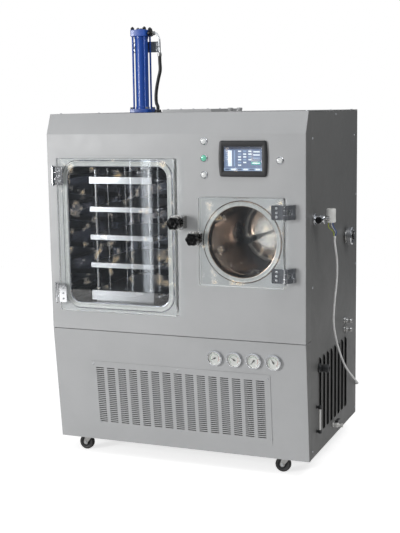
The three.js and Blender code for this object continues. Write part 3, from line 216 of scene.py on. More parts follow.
def stacked(sections: Iterable[tuple[Array, float]], facing: Facing, at: Point = MIDDLE,
            ring: bool = False) -> Shape:
    """Join flat outlines that lie at heights along the facing direction.

    Args:
        sections: (n, 2) outlines, each with its height.
        facing: direction of the heights.
        at: place of the flat origin.
        ring: True where the last outline joins the first.

    Returns:
        The closed shape.
    """
    return loft(np.array([facing.place(np.column_stack([flat, np.full(len(flat), height)]), at)
                          for flat, height in sections]), ring)


def layered(outline: Callable[[float], Array], layers: Sequence[Spot], facing: Facing,
            at: Point = MIDDLE) -> Shape:
    """Stack an outline whose (inset, height) layers draw it in by the inset."""
    return stacked([(outline(inset), height) for inset, height in layers], facing, at)


def around(count: int) -> Array:
    """Equal angles round a full turn."""
    return np.linspace(0, 2 * np.pi, count, endpoint=False)


def polar(angle: Array, radius: Array | float) -> Array:
    """Flat points r (cos t, sin t) at angles and radii."""
    return np.column_stack([np.cos(angle), np.sin(angle)]) * np.asarray(radius, float)[..., None]


def circle(radius: float, count: int, centre: Spot = (0.0, 0.0)) -> Array:
    """Points at equal angles round a circle."""
    return polar(around(count), radius) + np.array(centre)


def rounded(width: float, height: float, radius: float, centre: Spot = (0.0, 0.0), steps: int = 8) -> Array:
    """Outline of a rectangle whose corners are quarter circles.

    Args:
        width: full width.
        height: full height.
        radius: radius of the corners, held under half the sides.
        centre: middle of the rectangle.
        steps: points round each corner.

    Returns:
        (4 steps, 2) points.
    """
    radius = max(min(radius, width / 2 - 0.01, height / 2 - 0.01), 0.01)
    sweep = np.linspace(0, np.pi / 2, steps)
    quarters = [np.array([sx * (width / 2 - radius), sy * (height / 2 - radius)])
                + radius * polar(sweep + turn * np.pi / 2, 1.0)
                for turn, (sx, sy) in enumerate([(1, 1), (-1, 1), (-1, -1), (1, -1)])]
    return np.vstack(quarters) + np.array(centre)


def plate(width: float, height: float, radius: float, layers: Sequence[Spot], facing: Facing,
          at: Point = MIDDLE, centre: Spot = (0.0, 0.0), steps: int = 5, ease: float = 0.0) -> Shape:
    """Stack a rounded rectangle in layers.

    Args:
        width: full width.
        height: full height.
        radius: radius of the corners.
        layers: (inset, height) pairs, each drawn in by its inset.
        facing: direction of the heights.
        at: place of the flat origin.
        centre: middle of the rectangle from there.
        steps: points round each corner.
        ease: share of the inset that a corner's radius loses.

    Returns:
        The closed shape.
    """
    return layered(lambda inset: rounded(width - 2 * inset, height - 2 * inset, radius - ease * inset,
                                         centre, steps), layers, facing, at)


def turned(profile: Sequence[Spot], facing: Facing, at: Point, count: int = 48) -> Shape:
    """Turn a profile round the facing direction.

    The point at angle t is at + r cos t * first + r sin t * second + height * outward. A
    profile that starts and ends off the axis is closed round a bore.

    Args:
        profile: (radius, height) pairs.
        facing: direction of the axis.
        at: foot of the axis.
        count: points round it.

    Returns:
        The closed shape.
    """
    pairs = np.array(profile, float)
    on_axis = pairs[0, 0] < 1e-6
    ring = polar(around(count), 1.0)
    return stacked([(max(radius, 0.02) * ring, height) for radius, height in pairs], facing, at, not on_axis)


def bar(radius: float, low: float, high: float, facing: Facing, at: Point, edge: float = 0.6,
        count: int = 32) -> Shape:
    """A round bar with eased ends between two heights."""
    return turned([(0, low), (radius - edge, low), (radius, low + edge), (radius, high - edge),
                   (radius - edge, high), (0, high)], facing, at, count)


def hexagon(across: float, low: float, high: float, facing: Facing, at: Point) -> Shape:
    """A hexagonal nut with chamfered corners; across is the width over its corners.

    Args:
        across: size over the flats.
        low: lower level.
        high: upper level.
        facing: direction that the top faces.
        at: its place on the object.

    Returns:
        The closed prism.
    """
    def outline(inset: float) -> Array:
        """Six-sided outline whose corners are drawn in by inset.

        Args:
            inset: how far it is drawn in.

        Returns:
            The outline.
        """
        angle = around(24)
        radius = across / 2 * math.cos(math.pi / 6) / np.cos((angle + np.pi / 6) % (np.pi / 3) - np.pi / 6)
        return polar(angle, np.minimum(radius, across / 2 - inset))
    chamfer = across * 0.07
    return layered(outline, [(chamfer, low), (0, low + chamfer * 0.6), (0, high - chamfer * 0.6),
                             (chamfer, high)], facing, at)


def smooth_route(points: Sequence[Point], count: int) -> Array:
    """Resample a route at equal steps of a Catmull-Rom curve.

    Between p1 and p2 the point at t is half of 2 p1 + (p2 - p0) t + (2 p0 - 5 p1 + 4 p2 -
    p3) t^2 + (3 p1 - p0 - 3 p2 + p3) t^3, with reflected neighbours at the ends.

    Args:
        points: places that the route passes.
        count: points of the new route.

    Returns:
        (count, 3) points.
    """
    p = np.array(points, float)
    p = np.vstack([2 * p[0] - p[1], p, 2 * p[-1] - p[-2]])
    t = np.linspace(0, 1, 24, endpoint=False)[:, None, None]
    p0, p1, p2, p3 = p[:-3], p[1:-2], p[2:-1], p[3:]
    curve = 0.5 * (2 * p1 + (p2 - p0) * t + (2 * p0 - 5 * p1 + 4 * p2 - p3) * t**2
                   + (3 * p1 - p0 - 3 * p2 + p3) * t**3)
    dense = np.vstack([curve.transpose(1, 0, 2).reshape(-1, 3), p[-2]])
    length = np.concatenate([[0], np.cumsum(np.linalg.norm(np.diff(dense, axis=0), axis=1))])
    even = np.linspace(0, length[-1], count)
    return np.stack([np.interp(even, length, dense[:, i]) for i in range(3)], 1)


def swept(path: Array, radius: float, sides: int = 16) -> Shape:
    """Carry a circle along a path and cap both ends.

    Each section lies across the path's tangent; its first direction is the previous one
    with the part along the new tangent taken out, so that the tube doesn't twist.

    Args:
        path: (n, 3) points.
        radius: radius of the tube.
        sides: points round it.

    Returns:
        The closed tube.
    """
    tangent = np.gradient(path, axis=0)
    tangent /= np.linalg.norm(tangent, axis=1, keepdims=True)
    first = np.cross(tangent[0], [0.31, 0.17, 0.94])
    across = []
    for direction in tangent:
        first = first - direction * first.dot(direction)
        first /= np.linalg.norm(first)
        across.append(first)
    u = np.array(across)
    v = np.cross(tangent, u)
    angle = around(sides)[None, :, None]
    return loft(path[:, None] + (np.cos(angle) * u[:, None] + np.sin(angle) * v[:, None]) * radius)


def inside_loops(middle: Array, loops: Sequence[Array]) -> Array:
    """Tell which points a line to the right of them crosses the loops an odd number of times.

    Args:
        middle: (n, 2) points.
        loops: closed outlines.

    Returns:
        n truth values.
    """
    start = np.vstack(loops)
    end = np.vstack([np.roll(loop, -1, axis=0) for loop in loops])
    crossings = np.zeros(len(middle), int)
    batch = 512
    for first in range(0, len(start), batch):
        a, b = start[first:first + batch, :, None], end[first:first + batch, :, None]
        spans = (a[:, 1] > middle[:, 1]) != (b[:, 1] > middle[:, 1])
        rise = np.where(np.abs(b[:, 1] - a[:, 1]) < 1e-12, 1e-12, b[:, 1] - a[:, 1])
        where = a[:, 0] + (b[:, 0] - a[:, 0]) * (middle[:, 1] - a[:, 1]) / rise
        crossings += (spans & (middle[:, 0] < where)).sum(axis=0)
    return crossings % 2 == 1


def pierced(outline: Array, holes: Sequence[Array], low: float, high: float,
            creases: Sequence[Array] = ()) -> Shape:
    """A plate with holes, in its own flat coordinates (across, up, outward).

    The outline, the holes and the creases are triangulated together, and a triangle is kept
    where its middle lies in the plate. Both faces use the same pattern, and every edge that
    only one triangle has becomes a wall between them.

    Args:
        outline: (n, 2) points.
        holes: one such loop each.
        low: height of the inner face.
        high: height of the outer face.
        creases: lines of two points along which the plate may be folded later.

    Returns:
        The closed plate.
    """
    loops = [outline, *holes]
    flat = np.vstack([*loops, *creases])
    starts = np.cumsum([0] + [len(loop) for loop in loops])
    edges = [(int(start + i), int(start + (i + 1) % len(loop)))
             for start, loop in zip(starts, loops) for i in range(len(loop))]
    edges += [(int(starts[-1] + 2 * i), int(starts[-1] + 2 * i + 1)) for i in range(len(creases))]
    points, _, faces, *_ = delaunay_2d_cdt([Vector(p) for p in flat.tolist()], edges, [], 0, 1e-5)
    pattern = np.array([tuple(p) for p in points])
    tri = np.array(list(faces), int)
    tri = tri[inside_loops(pattern[tri].mean(axis=1), loops)]
    a, b, c = (pattern[tri[:, i]] for i in range(3))
    turn = (b[:, 0] - a[:, 0]) * (c[:, 1] - a[:, 1]) - (b[:, 1] - a[:, 1]) * (c[:, 0] - a[:, 0])
    tri[turn < 0] = tri[turn < 0][:, ::-1]
    n = len(pattern)
    directed = np.vstack([tri[:, [0, 1]], tri[:, [1, 2]], tri[:, [2, 0]]])
    rim = directed[~np.isin(directed @ [n, 1], directed @ [1, n])]
    walls = np.column_stack([rim[:, 0], rim[:, 0] + n, rim[:, 1] + n, rim[:, 1]])
    places = np.vstack([np.column_stack([pattern, np.full(n, level)]) for level in (high, low)])
    return Shape(places, tri.tolist() + (tri[:, ::-1] + n).tolist() + walls.tolist())


def block(x0: float, x1: float, y0: float, y1: float, z0: float, z1: float, edge: float = 1.0) -> Shape:
    """A block with eased upright edges and an eased top and foot."""
    return plate(x1 - x0, y1 - y0, edge, [(edge, z0), (0, z0 + edge), (0, z1 - edge), (edge, z1)], UP,
                 ((x0 + x1) / 2, (y0 + y1) / 2, 0.0), steps=4)


# ------------------------------------------------------------------ pieces
def linked(name: str, data: bpy.types.ID) -> Object:
    """Put new data in the scene as an object.

    Args:
        name: name of the object.
        data: mesh, lamp or camera data.

    Returns:
        The new object, in the scene.
    """
    made = bpy.data.objects.new(name, data)
    bpy.context.scene.collection.objects.link(made)
    return made


def shaded(mesh: bpy.types.Mesh, crease: float) -> bpy.types.Mesh:
    """Shade a mesh smooth, apart from edges sharper than crease degrees.

    Args:
        mesh: the mesh.
        crease: angle in degrees from which an edge stays sharp.

    Returns:
        The same mesh, smooth between its creases.
    """
    mesh.shade_smooth()
    mesh.set_sharp_from_angle(angle=math.radians(crease))
    return mesh


def finished_mesh(name: str, shape: Shape, crease: float) -> bpy.types.Mesh:
    """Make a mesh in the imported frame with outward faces.

    Args:
        name: name of the mesh.
        shape: its points and faces.
        crease: angle in degrees under which faces are shaded smooth.

    Returns:
        The cleaned mesh.
    """
    mesh = bpy.data.meshes.new(name)
    mesh.from_pydata(CABINET.metres(shape.points).tolist(), [], shape.faces)
    tool = bmesh.new()
    tool.from_mesh(mesh)
    bmesh.ops.remove_doubles(tool, verts=tool.verts, dist=2e-6)
    bmesh.ops.dissolve_degenerate(tool, edges=tool.edges, dist=1e-6)
    bmesh.ops.recalc_face_normals(tool, faces=tool.faces)
    tool.to_mesh(mesh)
    tool.free()
    return shaded(mesh, crease)


def declare(name: str, mesh: bpy.types.Mesh, finish: "Finish", body: str = "cabinet",
            replaces: Sequence[str] = (), slot: str | None = None, bevel: float = 0.0) -> Object:
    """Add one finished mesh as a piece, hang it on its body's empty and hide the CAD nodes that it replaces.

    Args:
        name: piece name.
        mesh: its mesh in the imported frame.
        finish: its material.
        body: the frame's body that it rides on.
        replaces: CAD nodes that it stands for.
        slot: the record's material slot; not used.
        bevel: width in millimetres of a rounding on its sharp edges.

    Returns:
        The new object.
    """
    piece = linked(name, mesh)
    mesh.materials.append(finish.material())
    if bevel:
        modifier = piece.modifiers.new("eased edges", "BEVEL")
        modifier.width = bevel / 1000
        modifier.segments = 2
        modifier.limit_method = "ANGLE"
        modifier.angle_limit = math.radians(40)
        modifier.use_clamp_overlap = True
        modifier.harden_normals = False
    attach(piece, body)
    if replaces:
        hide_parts(*replaces)
    LOG.info("%s: %d faces on %s", name, len(mesh.polygons), body)
    return piece


def add_piece(name: str, shape: Shape, finish: "Finish", body: str = "cabinet", crease: float = 32.0,
              **told: object) -> Object:
    """Add a shape as a piece.

    Args:
        name: piece name.
        shape: its points and faces.
        finish: its material.
        body: the frame's body that it rides on.
        crease: angle in degrees under which faces are shaded smooth.
        **told: what else declare takes.

    Returns:
        The new object.
    """
    return declare(name, finished_mesh(name, shape, crease), finish, body, **told)


def eased_copy(name: str, node: str, finish: "Finish", width: float, slot: str) -> Object:
    """Stand a copy of a CAD node in its place, with flat faces merged and edges rounded.

    Args:
        name: piece name.
        node: the CAD node.
        finish: its material.
        width: width in millimetres of the rounding.
        slot: the record's material slot.

    Returns:
        The new object.
    """
    tool = bmesh.new()
    tool.from_mesh(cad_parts[node].data)
    bmesh.ops.remove_doubles(tool, verts=tool.verts, dist=1e-5)
    bmesh.ops.dissolve_limit(tool, angle_limit=math.radians(1), verts=tool.verts, edges=tool.edges)
    mesh = bpy.data.meshes.new(name)
    tool.to_mesh(mesh)
    tool.free()
    return declare(name, shaded(mesh, 30.0), finish, replaces=[node], slot=slot, bevel=width)


def dress(node: str, finish: "Finish") -> None:
    """Give a CAD node a finish in place of its plain material.

    Args:
        node: name of the CAD node.
        finish: the finish.
    """
    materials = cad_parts[node].data.materials
    materials.clear()
    materials.append(finish.material())


# ------------------------------------------------------------------ finishes
def srgb(red: float, green: float, blue: float) -> Point:
    """Turn display values of 0 to 255 into linear colour.

    Args:
        red: red, 0 to 255.
        green: green, 0 to 255.
        blue: blue, 0 to 255.

    Returns:
        The linear colour.
    """
    def linear(value: float) -> float:
        """Undo the display curve of one channel."""
        v = value / 255
        return v / 12.92 if v <= 0.04045 else ((v + 0.055) / 1.055) ** 2.4
    return linear(red), linear(green), linear(blue)


def scaled(colour: Point, factor: float) -> Point:
    """Lighten or darken a linear colour."""
    return tuple(min(1.0, c * factor) for c in colour)


class Wiring:
    """Adds nodes to one shader tree and joins them."""

    def __init__(self, tree: Tree) -> None:
        """Keep the tree."""
        self.tree = tree

    def feed(self, node: Node, inputs: dict) -> None:
        """Give sockets, by name or number, their values or the outputs that feed them.

        Args:
            node: the shader node.
            inputs: values or links by input.
        """
        for key, value in inputs.items():
            if isinstance(value, Socket):
                self.tree.links.new(value, node.inputs[key])
            else:
                node.inputs[key].default_value = value

    def add(self, kind: str, inputs: dict | None = None, **settings: object) -> Node:
        """Add a node.

        Args:
            kind: type of the node, after "ShaderNode".
            inputs: what feed takes.
            **settings: properties of the node.

        Returns:
            The new node.
        """
        node = self.tree.nodes.new("ShaderNode" + kind)
        for key, value in settings.items():
            setattr(node, key, value)
        self.feed(node, inputs or {})
        return node

    def maths(self, operation: str, first: object, second: object = 0.0) -> Socket:
        """Work out one number from two."""
        return self.add("Math", {0: first, 1: second}, operation=operation).outputs[0]

    def times(self, first: object, second: object) -> Socket:
        """Multiply two numbers."""
        return self.maths("MULTIPLY", first, second)

    def spread(self, value: object, low: float, high: float, start: float = 0.0, end: float = 1.0) -> Socket:
        """Carry a value from the range start to end over to the range low to high."""
        return self.add("MapRange", {0: value, 1: start, 2: end, 3: low, 4: high}).outputs[0]

    def rise(self, value: object, start: float, end: float) -> Socket:
        """Carry a value from the range start to end over to 0 to 1."""
        return self.spread(value, 0.0, 1.0, start, end)

    def place(self) -> Socket:
        """Place on the object, in metres."""
        return self.add("TexCoord").outputs["Object"]

    def noise(self, place: Socket, scale: object, detail: float, **more: float) -> Socket:
        """Cloudy noise of a scale, with its other inputs by name."""
        return self.add("TexNoise", {"Vector": place, "Scale": scale, "Detail": detail, **more}).outputs[0]

    def blend(self, share: object, first: object, second: object) -> Socket:
        """Mix two colours.

        Args:
            share: how much of the second.
            first: first colour, or the output that gives it.
            second: second colour, or the output that gives it.

        Returns:
            The mixed colour.
        """
        node = self.add("Mix", data_type="RGBA")
        for name, value in (("Factor_Float", share), ("A_Color", first), ("B_Color", second)):
            target = next(s for s in node.inputs if s.identifier == name)
            if isinstance(value, Socket):
                self.tree.links.new(value, target)
            else:
                target.default_value = (*value, 1.0) if isinstance(value, tuple) else value
        return next(s for s in node.outputs if s.identifier == "Result_Color")


class Effect(Enum):
    """Shared surface effects, each one node group."""

    PEEL = "powder_skin"
    GRAIN = "brushed_grain"
    HANDLED = "handling_marks"
    DUST = "settled_dust"

    def on(self, w: Wiring, **inputs: object) -> bpy.types.NodeOutputs:
        """Place the effect's group, built on first use, and return its outputs.

        Args:
            w: the node tree.
            inputs: values or links by input.

        Returns:
            The node's outputs.
        """
        group = bpy.data.node_groups.get(self.value)
        if not group:
            group = bpy.data.node_groups.new(self.value, "ShaderNodeTree")
            getattr(self, f"_{self.name.lower()}")(Wiring(group))
        return w.add("Group", {key.replace("_", " "): value for key, value in inputs.items()},
                     node_tree=group).outputs

    def _given(self, w: Wiring, **inputs: object) -> bpy.types.NodeOutputs:
        """Give a group its named inputs.

        Args:
            w: the node tree.
            inputs: values or links by input.

        Returns:
            The group's inputs.
        """
        for name, value in inputs.items():
            kind = "NodeSocketVector" if isinstance(value, tuple) else "NodeSocketFloat"
            w.tree.interface.new_socket(name.replace("_", " "), in_out="INPUT",
                                        socket_type=kind).default_value = value
        return w.tree.nodes.new("NodeGroupInput").outputs

    def _shown(self, w: Wiring, **outputs: Socket) -> None:
        """Give a group its named outputs.

        Args:
            w: the node tree.
            outputs: results by name.
        """
        for name in outputs:
            w.tree.interface.new_socket(name, in_out="OUTPUT", socket_type="NodeSocketFloat")
        w.feed(w.tree.nodes.new("NodeGroupOutput"), outputs)

    def _peel(self, w: Wiring) -> None:
        """Powder coat: fine bubbly skin with slow drifts of tone.

        Args:
            w: the node tree.
        """
        given, place = self._given(w, Size=900.0, Drift_size=3.2), w.place()
        cells = w.add("TexVoronoi", {"Vector": place, "Scale": 240.0}).outputs["Distance"]
        drift = w.noise(place, given["Drift size"], 4.0, Roughness=0.62)
        self._shown(w, Skin=w.noise(place, given["Size"], 3.0), Drift=w.rise(drift, 0.32, 0.68),
                    Speck=w.spread(cells, 1.0, 0.0, 0.0, 0.12))

    def _grain(self, w: Wiring) -> None:
        """Brushing: noise drawn out along one axis, coarse lines over fine ones.

        Args:
            w: the node tree.
        """
        given, place = self._given(w, Stretch=(1.0, 1.0, 1.0)), w.place()
        drawn = w.add("Mapping", {"Vector": place, "Scale": given["Stretch"]}).outputs[0]
        self._shown(w, Lines=w.noise(drawn, 260.0, 5.0, Roughness=0.7),
                    Tone=w.rise(w.noise(place, 5.0, 3.0), 0.3, 0.7))

    def _handled(self, w: Wiring) -> None:
        """Handling: cloudy smears crossed by a few hairline scratches.

        Args:
            w: the node tree.
        """
        given, place = self._given(w, Size=14.0), w.place()
        smear = w.noise(place, given["Size"], 6.0, Roughness=0.68, Distortion=0.9)
        drawn = w.add("Mapping", {"Vector": place, "Rotation": (0.4, 0.7, 0.3), "Scale": (6.0, 130.0, 6.0)})
        hair = w.noise(drawn.outputs[0], 3.0, 1.0)
        self._shown(w, Smear=w.rise(smear, 0.42, 0.72), Scratch=w.rise(hair, 0.71, 0.76))

    def _dust(self, w: Wiring) -> None:
        """Dust: it lies on faces that look up and thickens in patches.

        Args:
            w: the node tree.
        """
        given, place = self._given(w, Reach=0.5), w.place()
        up = w.add("SeparateXYZ", {0: w.add("NewGeometry").outputs["Normal"]}).outputs["Z"]
        patch = w.spread(w.noise(place, 24.0, 5.0), 0.2, 1.0, 0.35, 0.65)
        self._shown(w, Dust=w.times(w.times(w.rise(up, 0.55, 1.0), patch), given["Reach"]))


def wired(name: str) -> tuple[bpy.types.Material, Wiring]:
    """Return a new, empty material and the wiring of its tree.

    Args:
        name: its name.

    Returns:
        The material and its wiring.
    """
    made = bpy.data.materials.new(name)
    made.use_nodes = True
    made.node_tree.nodes.clear()
    return made, Wiring(made.node_tree)


@dataclass(frozen=True)
class Finish:
    """A surface finish: its colour, its roughness and how it is worked."""

    name: str
    colour: Point
    roughness: float = 0.5

    def material(self) -> bpy.types.Material:
        """Return the finish's material, built on first use.

        Returns:
            The material, made once.
        """
        made = bpy.data.materials.get(self.name)
        if not made:
            made, w = wired(self.name)
            made.diffuse_color = (*self.colour, 1.0)
            shader = w.add("BsdfPrincipled", {"Base Color": (*self.colour, 1.0), "Roughness": self.roughness})
            w.add("OutputMaterial", {"Surface": self.work(w, shader)})
        return made

    def work(self, w: Wiring, shader: Node) -> Socket:
        """Wire the surface's detail into the shader and return what the surface shows."""
        raise NotImplementedError(self.name)

    def bump(self, w: Wiring, height: Socket, depth: float) -> Socket:
        """Raise the surface by a height of up to depth metres."""
        return w.add("Bump", {"Height": height, "Distance": depth, "Strength": 1.0}).outputs[0]


@dataclass(frozen=True)
class PowderPaint(Finish):
    """Powder coat on sheet metal, with a fine skin, slow tone drifts and settled dust."""

    roughness: float = 0.46
    skin: float = 0.00004
    size: float = 620.0
    dust: float = 0.35
    coat: float = 0.0

    def work(self, w: Wiring, shader: Node) -> Socket:
        """Add skin, drift, handling and dust.

        Args:
            w: the node tree.
            shader: the surface's shader.

        Returns:
            What the surface shows.
        """
        peel = Effect.PEEL.on(w, Size=self.size)
        marks = Effect.HANDLED.on(w, Size=7.0)
        drift = w.blend(peel["Drift"], scaled(self.colour, 0.955), scaled(self.colour, 1.035))
        speck = w.blend(w.times(peel["Speck"], 0.05), drift, scaled(self.colour, 0.6))
        dusty = w.blend(Effect.DUST.on(w, Reach=self.dust)["Dust"], speck, (0.42, 0.40, 0.37))
        rough = w.spread(marks["Smear"], self.roughness - 0.05, self.roughness + 0.07)
        w.feed(shader, {"Base Color": dusty, "Roughness": rough, "Coat Weight": self.coat,
                        "Normal": self.bump(w, peel["Skin"], self.skin)})
        return shader.outputs[0]


@dataclass(frozen=True)
class WorkedMetal(Finish):
    """Bare or plated metal, brushed along the axis on which stretch is small."""

    roughness: float = 0.22
    stretch: Point = (1.0, 1.0, 1.0)
    lines: float = 0.00001
    spread_by: float = 0.08
    stain: float = 0.25
    ripple: float = 0.0

    def work(self, w: Wiring, shader: Node) -> Socket:
        """Add brushing lines, clouded roughness and a faint stain.

        Args:
            w: the node tree.
            shader: the surface's shader.

        Returns:
            What the surface shows.
        """
        grain = Effect.GRAIN.on(w, Stretch=self.stretch)
        marks = Effect.HANDLED.on(w, Size=11.0)
        tone = w.blend(grain["Tone"], scaled(self.colour, 0.9), scaled(self.colour, 1.06))
        stained = w.blend(w.times(marks["Smear"], self.stain), tone, scaled(self.colour, 0.6))
        rough = w.spread(grain["Lines"], self.roughness - self.spread_by, self.roughness + self.spread_by,
                         0.3, 0.7)
        height = w.maths("ADD", w.times(grain["Lines"], self.lines * 1000),
                         w.times(grain["Tone"], self.ripple * 1000))
        w.feed(shader, {"Metallic": 1.0, "Base Color": stained, "Normal": self.bump(w, height, 0.001),
                        "Roughness": w.maths("ADD", rough, w.times(marks["Scratch"], 0.12))})
        return shader.outputs[0]


@dataclass(frozen=True)
class FinnedMetal(WorkedMetal):
    """Stacked fins of thin sheet: bright edges along X with painted shade in the gaps between them."""

    pitch: float = 0.004

    def work(self, w: Wiring, shader: Node) -> Socket:
        """Lay bright fin edges over gaps painted dark as shade.

        Args:
            w: the node tree.
            shader: the surface's shader.

        Returns:
            What the surface shows.
        """
        surface = super().work(w, shader)
        along = w.add("SeparateXYZ", {0: w.place()}).outputs["X"]
        phase = w.maths("FRACT", w.maths("DIVIDE", along, self.pitch))
        fin = w.spread(w.maths("ABSOLUTE", w.maths("SUBTRACT", phase, 0.5)), 1.0, 0.0, 0.12, 0.2)
        # The near-black gap colour is painted shade between the fins.
        w.feed(shader, {"Base Color": w.blend(fin, (0.012, 0.012, 0.013), self.colour)})
        return surface


@dataclass(frozen=True)
class MouldedPlastic(Finish):
    """Moulded plastic or rubber: fine grain, worn shine and dust on top."""

    roughness: float = 0.38
    grain: float = 0.00006
    size: float = 1100.0
    coat: float = 0.0
    dust: float = 0.12
    shine: float = 0.5

    def work(self, w: Wiring, shader: Node) -> Socket:
        """Add grain, handling shine and dust.

        Args:
            w: the node tree.
            shader: the surface's shader.

        Returns:
            What the surface shows.
        """
        peel = Effect.PEEL.on(w, Size=self.size, Drift_size=30.0)
        marks = Effect.HANDLED.on(w, Size=40.0)
        drift = w.blend(peel["Drift"], scaled(self.colour, 0.9), scaled(self.colour, 1.1))
        dusty = w.blend(Effect.DUST.on(w, Reach=self.dust)["Dust"], drift, (0.36, 0.35, 0.33))
        rough = w.spread(marks["Smear"], self.roughness + 0.05, self.roughness - 0.1)
        w.feed(shader, {"Base Color": dusty, "Roughness": rough, "Specular IOR Level": self.shine,
                        "Coat Weight": self.coat, "Coat Roughness": 0.12,
                        "Normal": self.bump(w, peel["Skin"], self.grain)})
        return shader.outputs[0]


@dataclass(frozen=True)
class ClearAcrylic(Finish):
    """Clear cast acrylic or glass that lets lamp light straight through."""

    roughness: float = 0.0
    index: float = 1.49
    haze: float = 0.012

    def work(self, w: Wiring, shader: Node) -> Socket:
        """Add smears to the polish, and step aside for shadow and diffuse rays.

        Args:
            w: the node tree.
            shader: the surface's shader.

        Returns:
            What the surface shows.
        """
        marks = Effect.HANDLED.on(w, Size=5.0)
        rough = w.spread(marks["Smear"], self.roughness, self.roughness + self.haze)
        w.feed(shader, {"Transmission Weight": 1.0, "IOR": self.index, "Roughness": rough})
        path = w.add("LightPath").outputs
        aside = w.maths("MAXIMUM", path["Is Shadow Ray"], path["Is Diffuse Ray"])
        clear = w.add("BsdfTransparent", {"Color": (0.96, 0.97, 0.97, 1.0)})
        return w.add("MixShader", {0: aside, 1: shader.outputs[0], 2: clear.outputs[0]}).outputs[0]


@dataclass(frozen=True)
class PaintedFaces(Finish):
    """A printed or lit face whose colours come from the mesh's own tint attribute."""

    roughness: float = 0.25
    glow: float = 0.0

    def work(self, w: Wiring, shader: Node) -> Socket:
        """Read the tint, clouded by handling, and let it glow where it is lit.

        Args:
            w: the node tree.
            shader: the surface's shader.

        Returns:
            What the surface shows.
        """
        tint = w.add("Attribute", attribute_name="tint").outputs["Color"]
        smear = Effect.HANDLED.on(w, Size=30.0)["Smear"]
        w.feed(shader, {"Base Color": w.blend(w.times(smear, 0.12), tint, (0.3, 0.3, 0.3)),
                        "Roughness": w.spread(smear, self.roughness, self.roughness + 0.1)})
        if self.glow:
            w.feed(shader, {"Emission Color": tint, "Emission Strength": self.glow})
        return shader.outputs[0]


PALE_PAINT = PowderPaint("pale_grey_powder_coat", srgb(178, 179, 180))
# Side coat: the front's pale powder coat darkened as painted shade. It is used on the sides, the front
# sheets' returns, the rear and the roof's edges.
SIDE_SHADE_PAINT = PowderPaint("pale_coat_painted_shade", srgb(106, 106, 105), roughness=0.5, dust=0.2)
FRAME_PAINT = PowderPaint("frame_enamel", srgb(52, 53, 55), roughness=0.5)
BLUE_PAINT = PowderPaint("blue_gloss_enamel", srgb(24, 76, 166), roughness=0.34, skin=0.00003,
                         size=160.0, coat=0.2)
UNIT_PAINT = PowderPaint("unit_black_enamel", srgb(34, 35, 37), roughness=0.3, size=200.0, coat=0.3)
TANK_PAINT = PowderPaint("tank_grey_enamel", srgb(112, 118, 122), roughness=0.35, size=220.0)
LINER = WorkedMetal("mirror_stainless", srgb(150, 152, 160), roughness=0.04, stretch=(1.0, 1.0, 0.03),
                    stain=0.2, lines=0.0000005, spread_by=0.03, ripple=0.0004)
# The trap's dished rear head: the drum's stainless painted much lighter, a painted reflection of light on the
# dish.
LIT_HEAD = WorkedMetal("trap_head_painted_light", srgb(224, 222, 219), roughness=0.2, stretch=(1.0, 1.0, 0.05), stain=0.3,
                   lines=0.000001, spread_by=0.05, ripple=0.0002)
DRUM = WorkedMetal("rolled_stainless", srgb(136, 120, 108), roughness=0.1, stretch=(1.0, 0.03, 1.0),
                   stain=0.5, lines=0.000001, spread_by=0.05, ripple=0.0003)
SHELF = WorkedMetal("satin_stainless", srgb(136, 137, 140), roughness=0.36, stretch=(0.03, 1.0, 1.0),
                    stain=0.1)
FLANGE = WorkedMetal("ground_stainless", srgb(214, 213, 210), roughness=0.24,
                     stain=0.12)
SLEEVE = WorkedMetal("dark_sleeve", srgb(70, 68, 64), roughness=0.3)
FITTING = WorkedMetal("turned_steel", srgb(168, 167, 165), roughness=0.26)
CHROME = WorkedMetal("bright_chrome", srgb(226, 227, 229), roughness=0.07,
                     lines=0.000003, spread_by=0.03, stain=0.1)
ZINC = WorkedMetal("zinc_plate", srgb(186, 188, 190), roughness=0.3, stain=0.3)
ROD = WorkedMetal("hard_chrome_rod", srgb(150, 151, 154), roughness=0.14, stretch=(1.0, 1.0, 0.03),
                  lines=0.000004, spread_by=0.03, stain=0.08)
ACRYLIC = ClearAcrylic("cast_acrylic", srgb(248, 250, 250))
SAWN = ClearAcrylic("sawn_acrylic_edge", srgb(240, 244, 244), roughness=0.3, haze=0.15)
LENS = ClearAcrylic("dial_glass", srgb(250, 250, 250), haze=0.01, index=1.46)
SEAL = MouldedPlastic("white_silicone", srgb(190, 191, 190), roughness=0.3, size=500.0, dust=0.05)
BLACK = MouldedPlastic("black_bakelite", srgb(7, 7, 8), roughness=0.14, grain=0.00001,
                      dust=0.0, shine=0.2)
DULL_BLACK = MouldedPlastic("black_moulding", srgb(30, 31, 33), roughness=0.45)
WHITE = MouldedPlastic("white_moulding", srgb(236, 236, 233), roughness=0.35, dust=0.05)
GREEN = MouldedPlastic("green_cap", srgb(120, 214, 182), roughness=0.16, grain=0.00001, coat=0.6, dust=0.0)
PEARL = MouldedPlastic("pearl_lens", srgb(226, 228, 228), roughness=0.16, grain=0.00001, coat=0.6)
SHEATH = MouldedPlastic("white_cable_sheath", srgb(240, 240, 239), roughness=0.3, grain=0.00004, dust=0.0)
YELLOW_WIRE = MouldedPlastic("yellow_green_core", srgb(178, 190, 60), roughness=0.35)
BLUE_WIRE = MouldedPlastic("blue_core", srgb(48, 88, 168), roughness=0.35)
HOSE = MouldedPlastic("black_hose", srgb(26, 26, 27), roughness=0.5, grain=0.0001, size=700.0)
TREAD = MouldedPlastic("grey_black_tread", srgb(48, 47, 46), roughness=0.62, grain=0.0002, size=420.0,
                       dust=0.5)
# Painted shade: flat dark strips that stand in for the shade under the louvre hoods.
SHADE = MouldedPlastic("painted_shade_under_hoods", srgb(24, 24, 25), roughness=0.8, grain=0.0001)
FINS = FinnedMetal("condenser_fins_gap_shade", srgb(160, 162, 165), roughness=0.35, stretch=(1.0, 1.0, 0.03))
DIAL = PaintedFaces("dial_print", srgb(232, 232, 228), roughness=0.35)
SCREEN = PaintedFaces("lit_screen", srgb(150, 160, 190), roughness=0.12, glow=0.4)


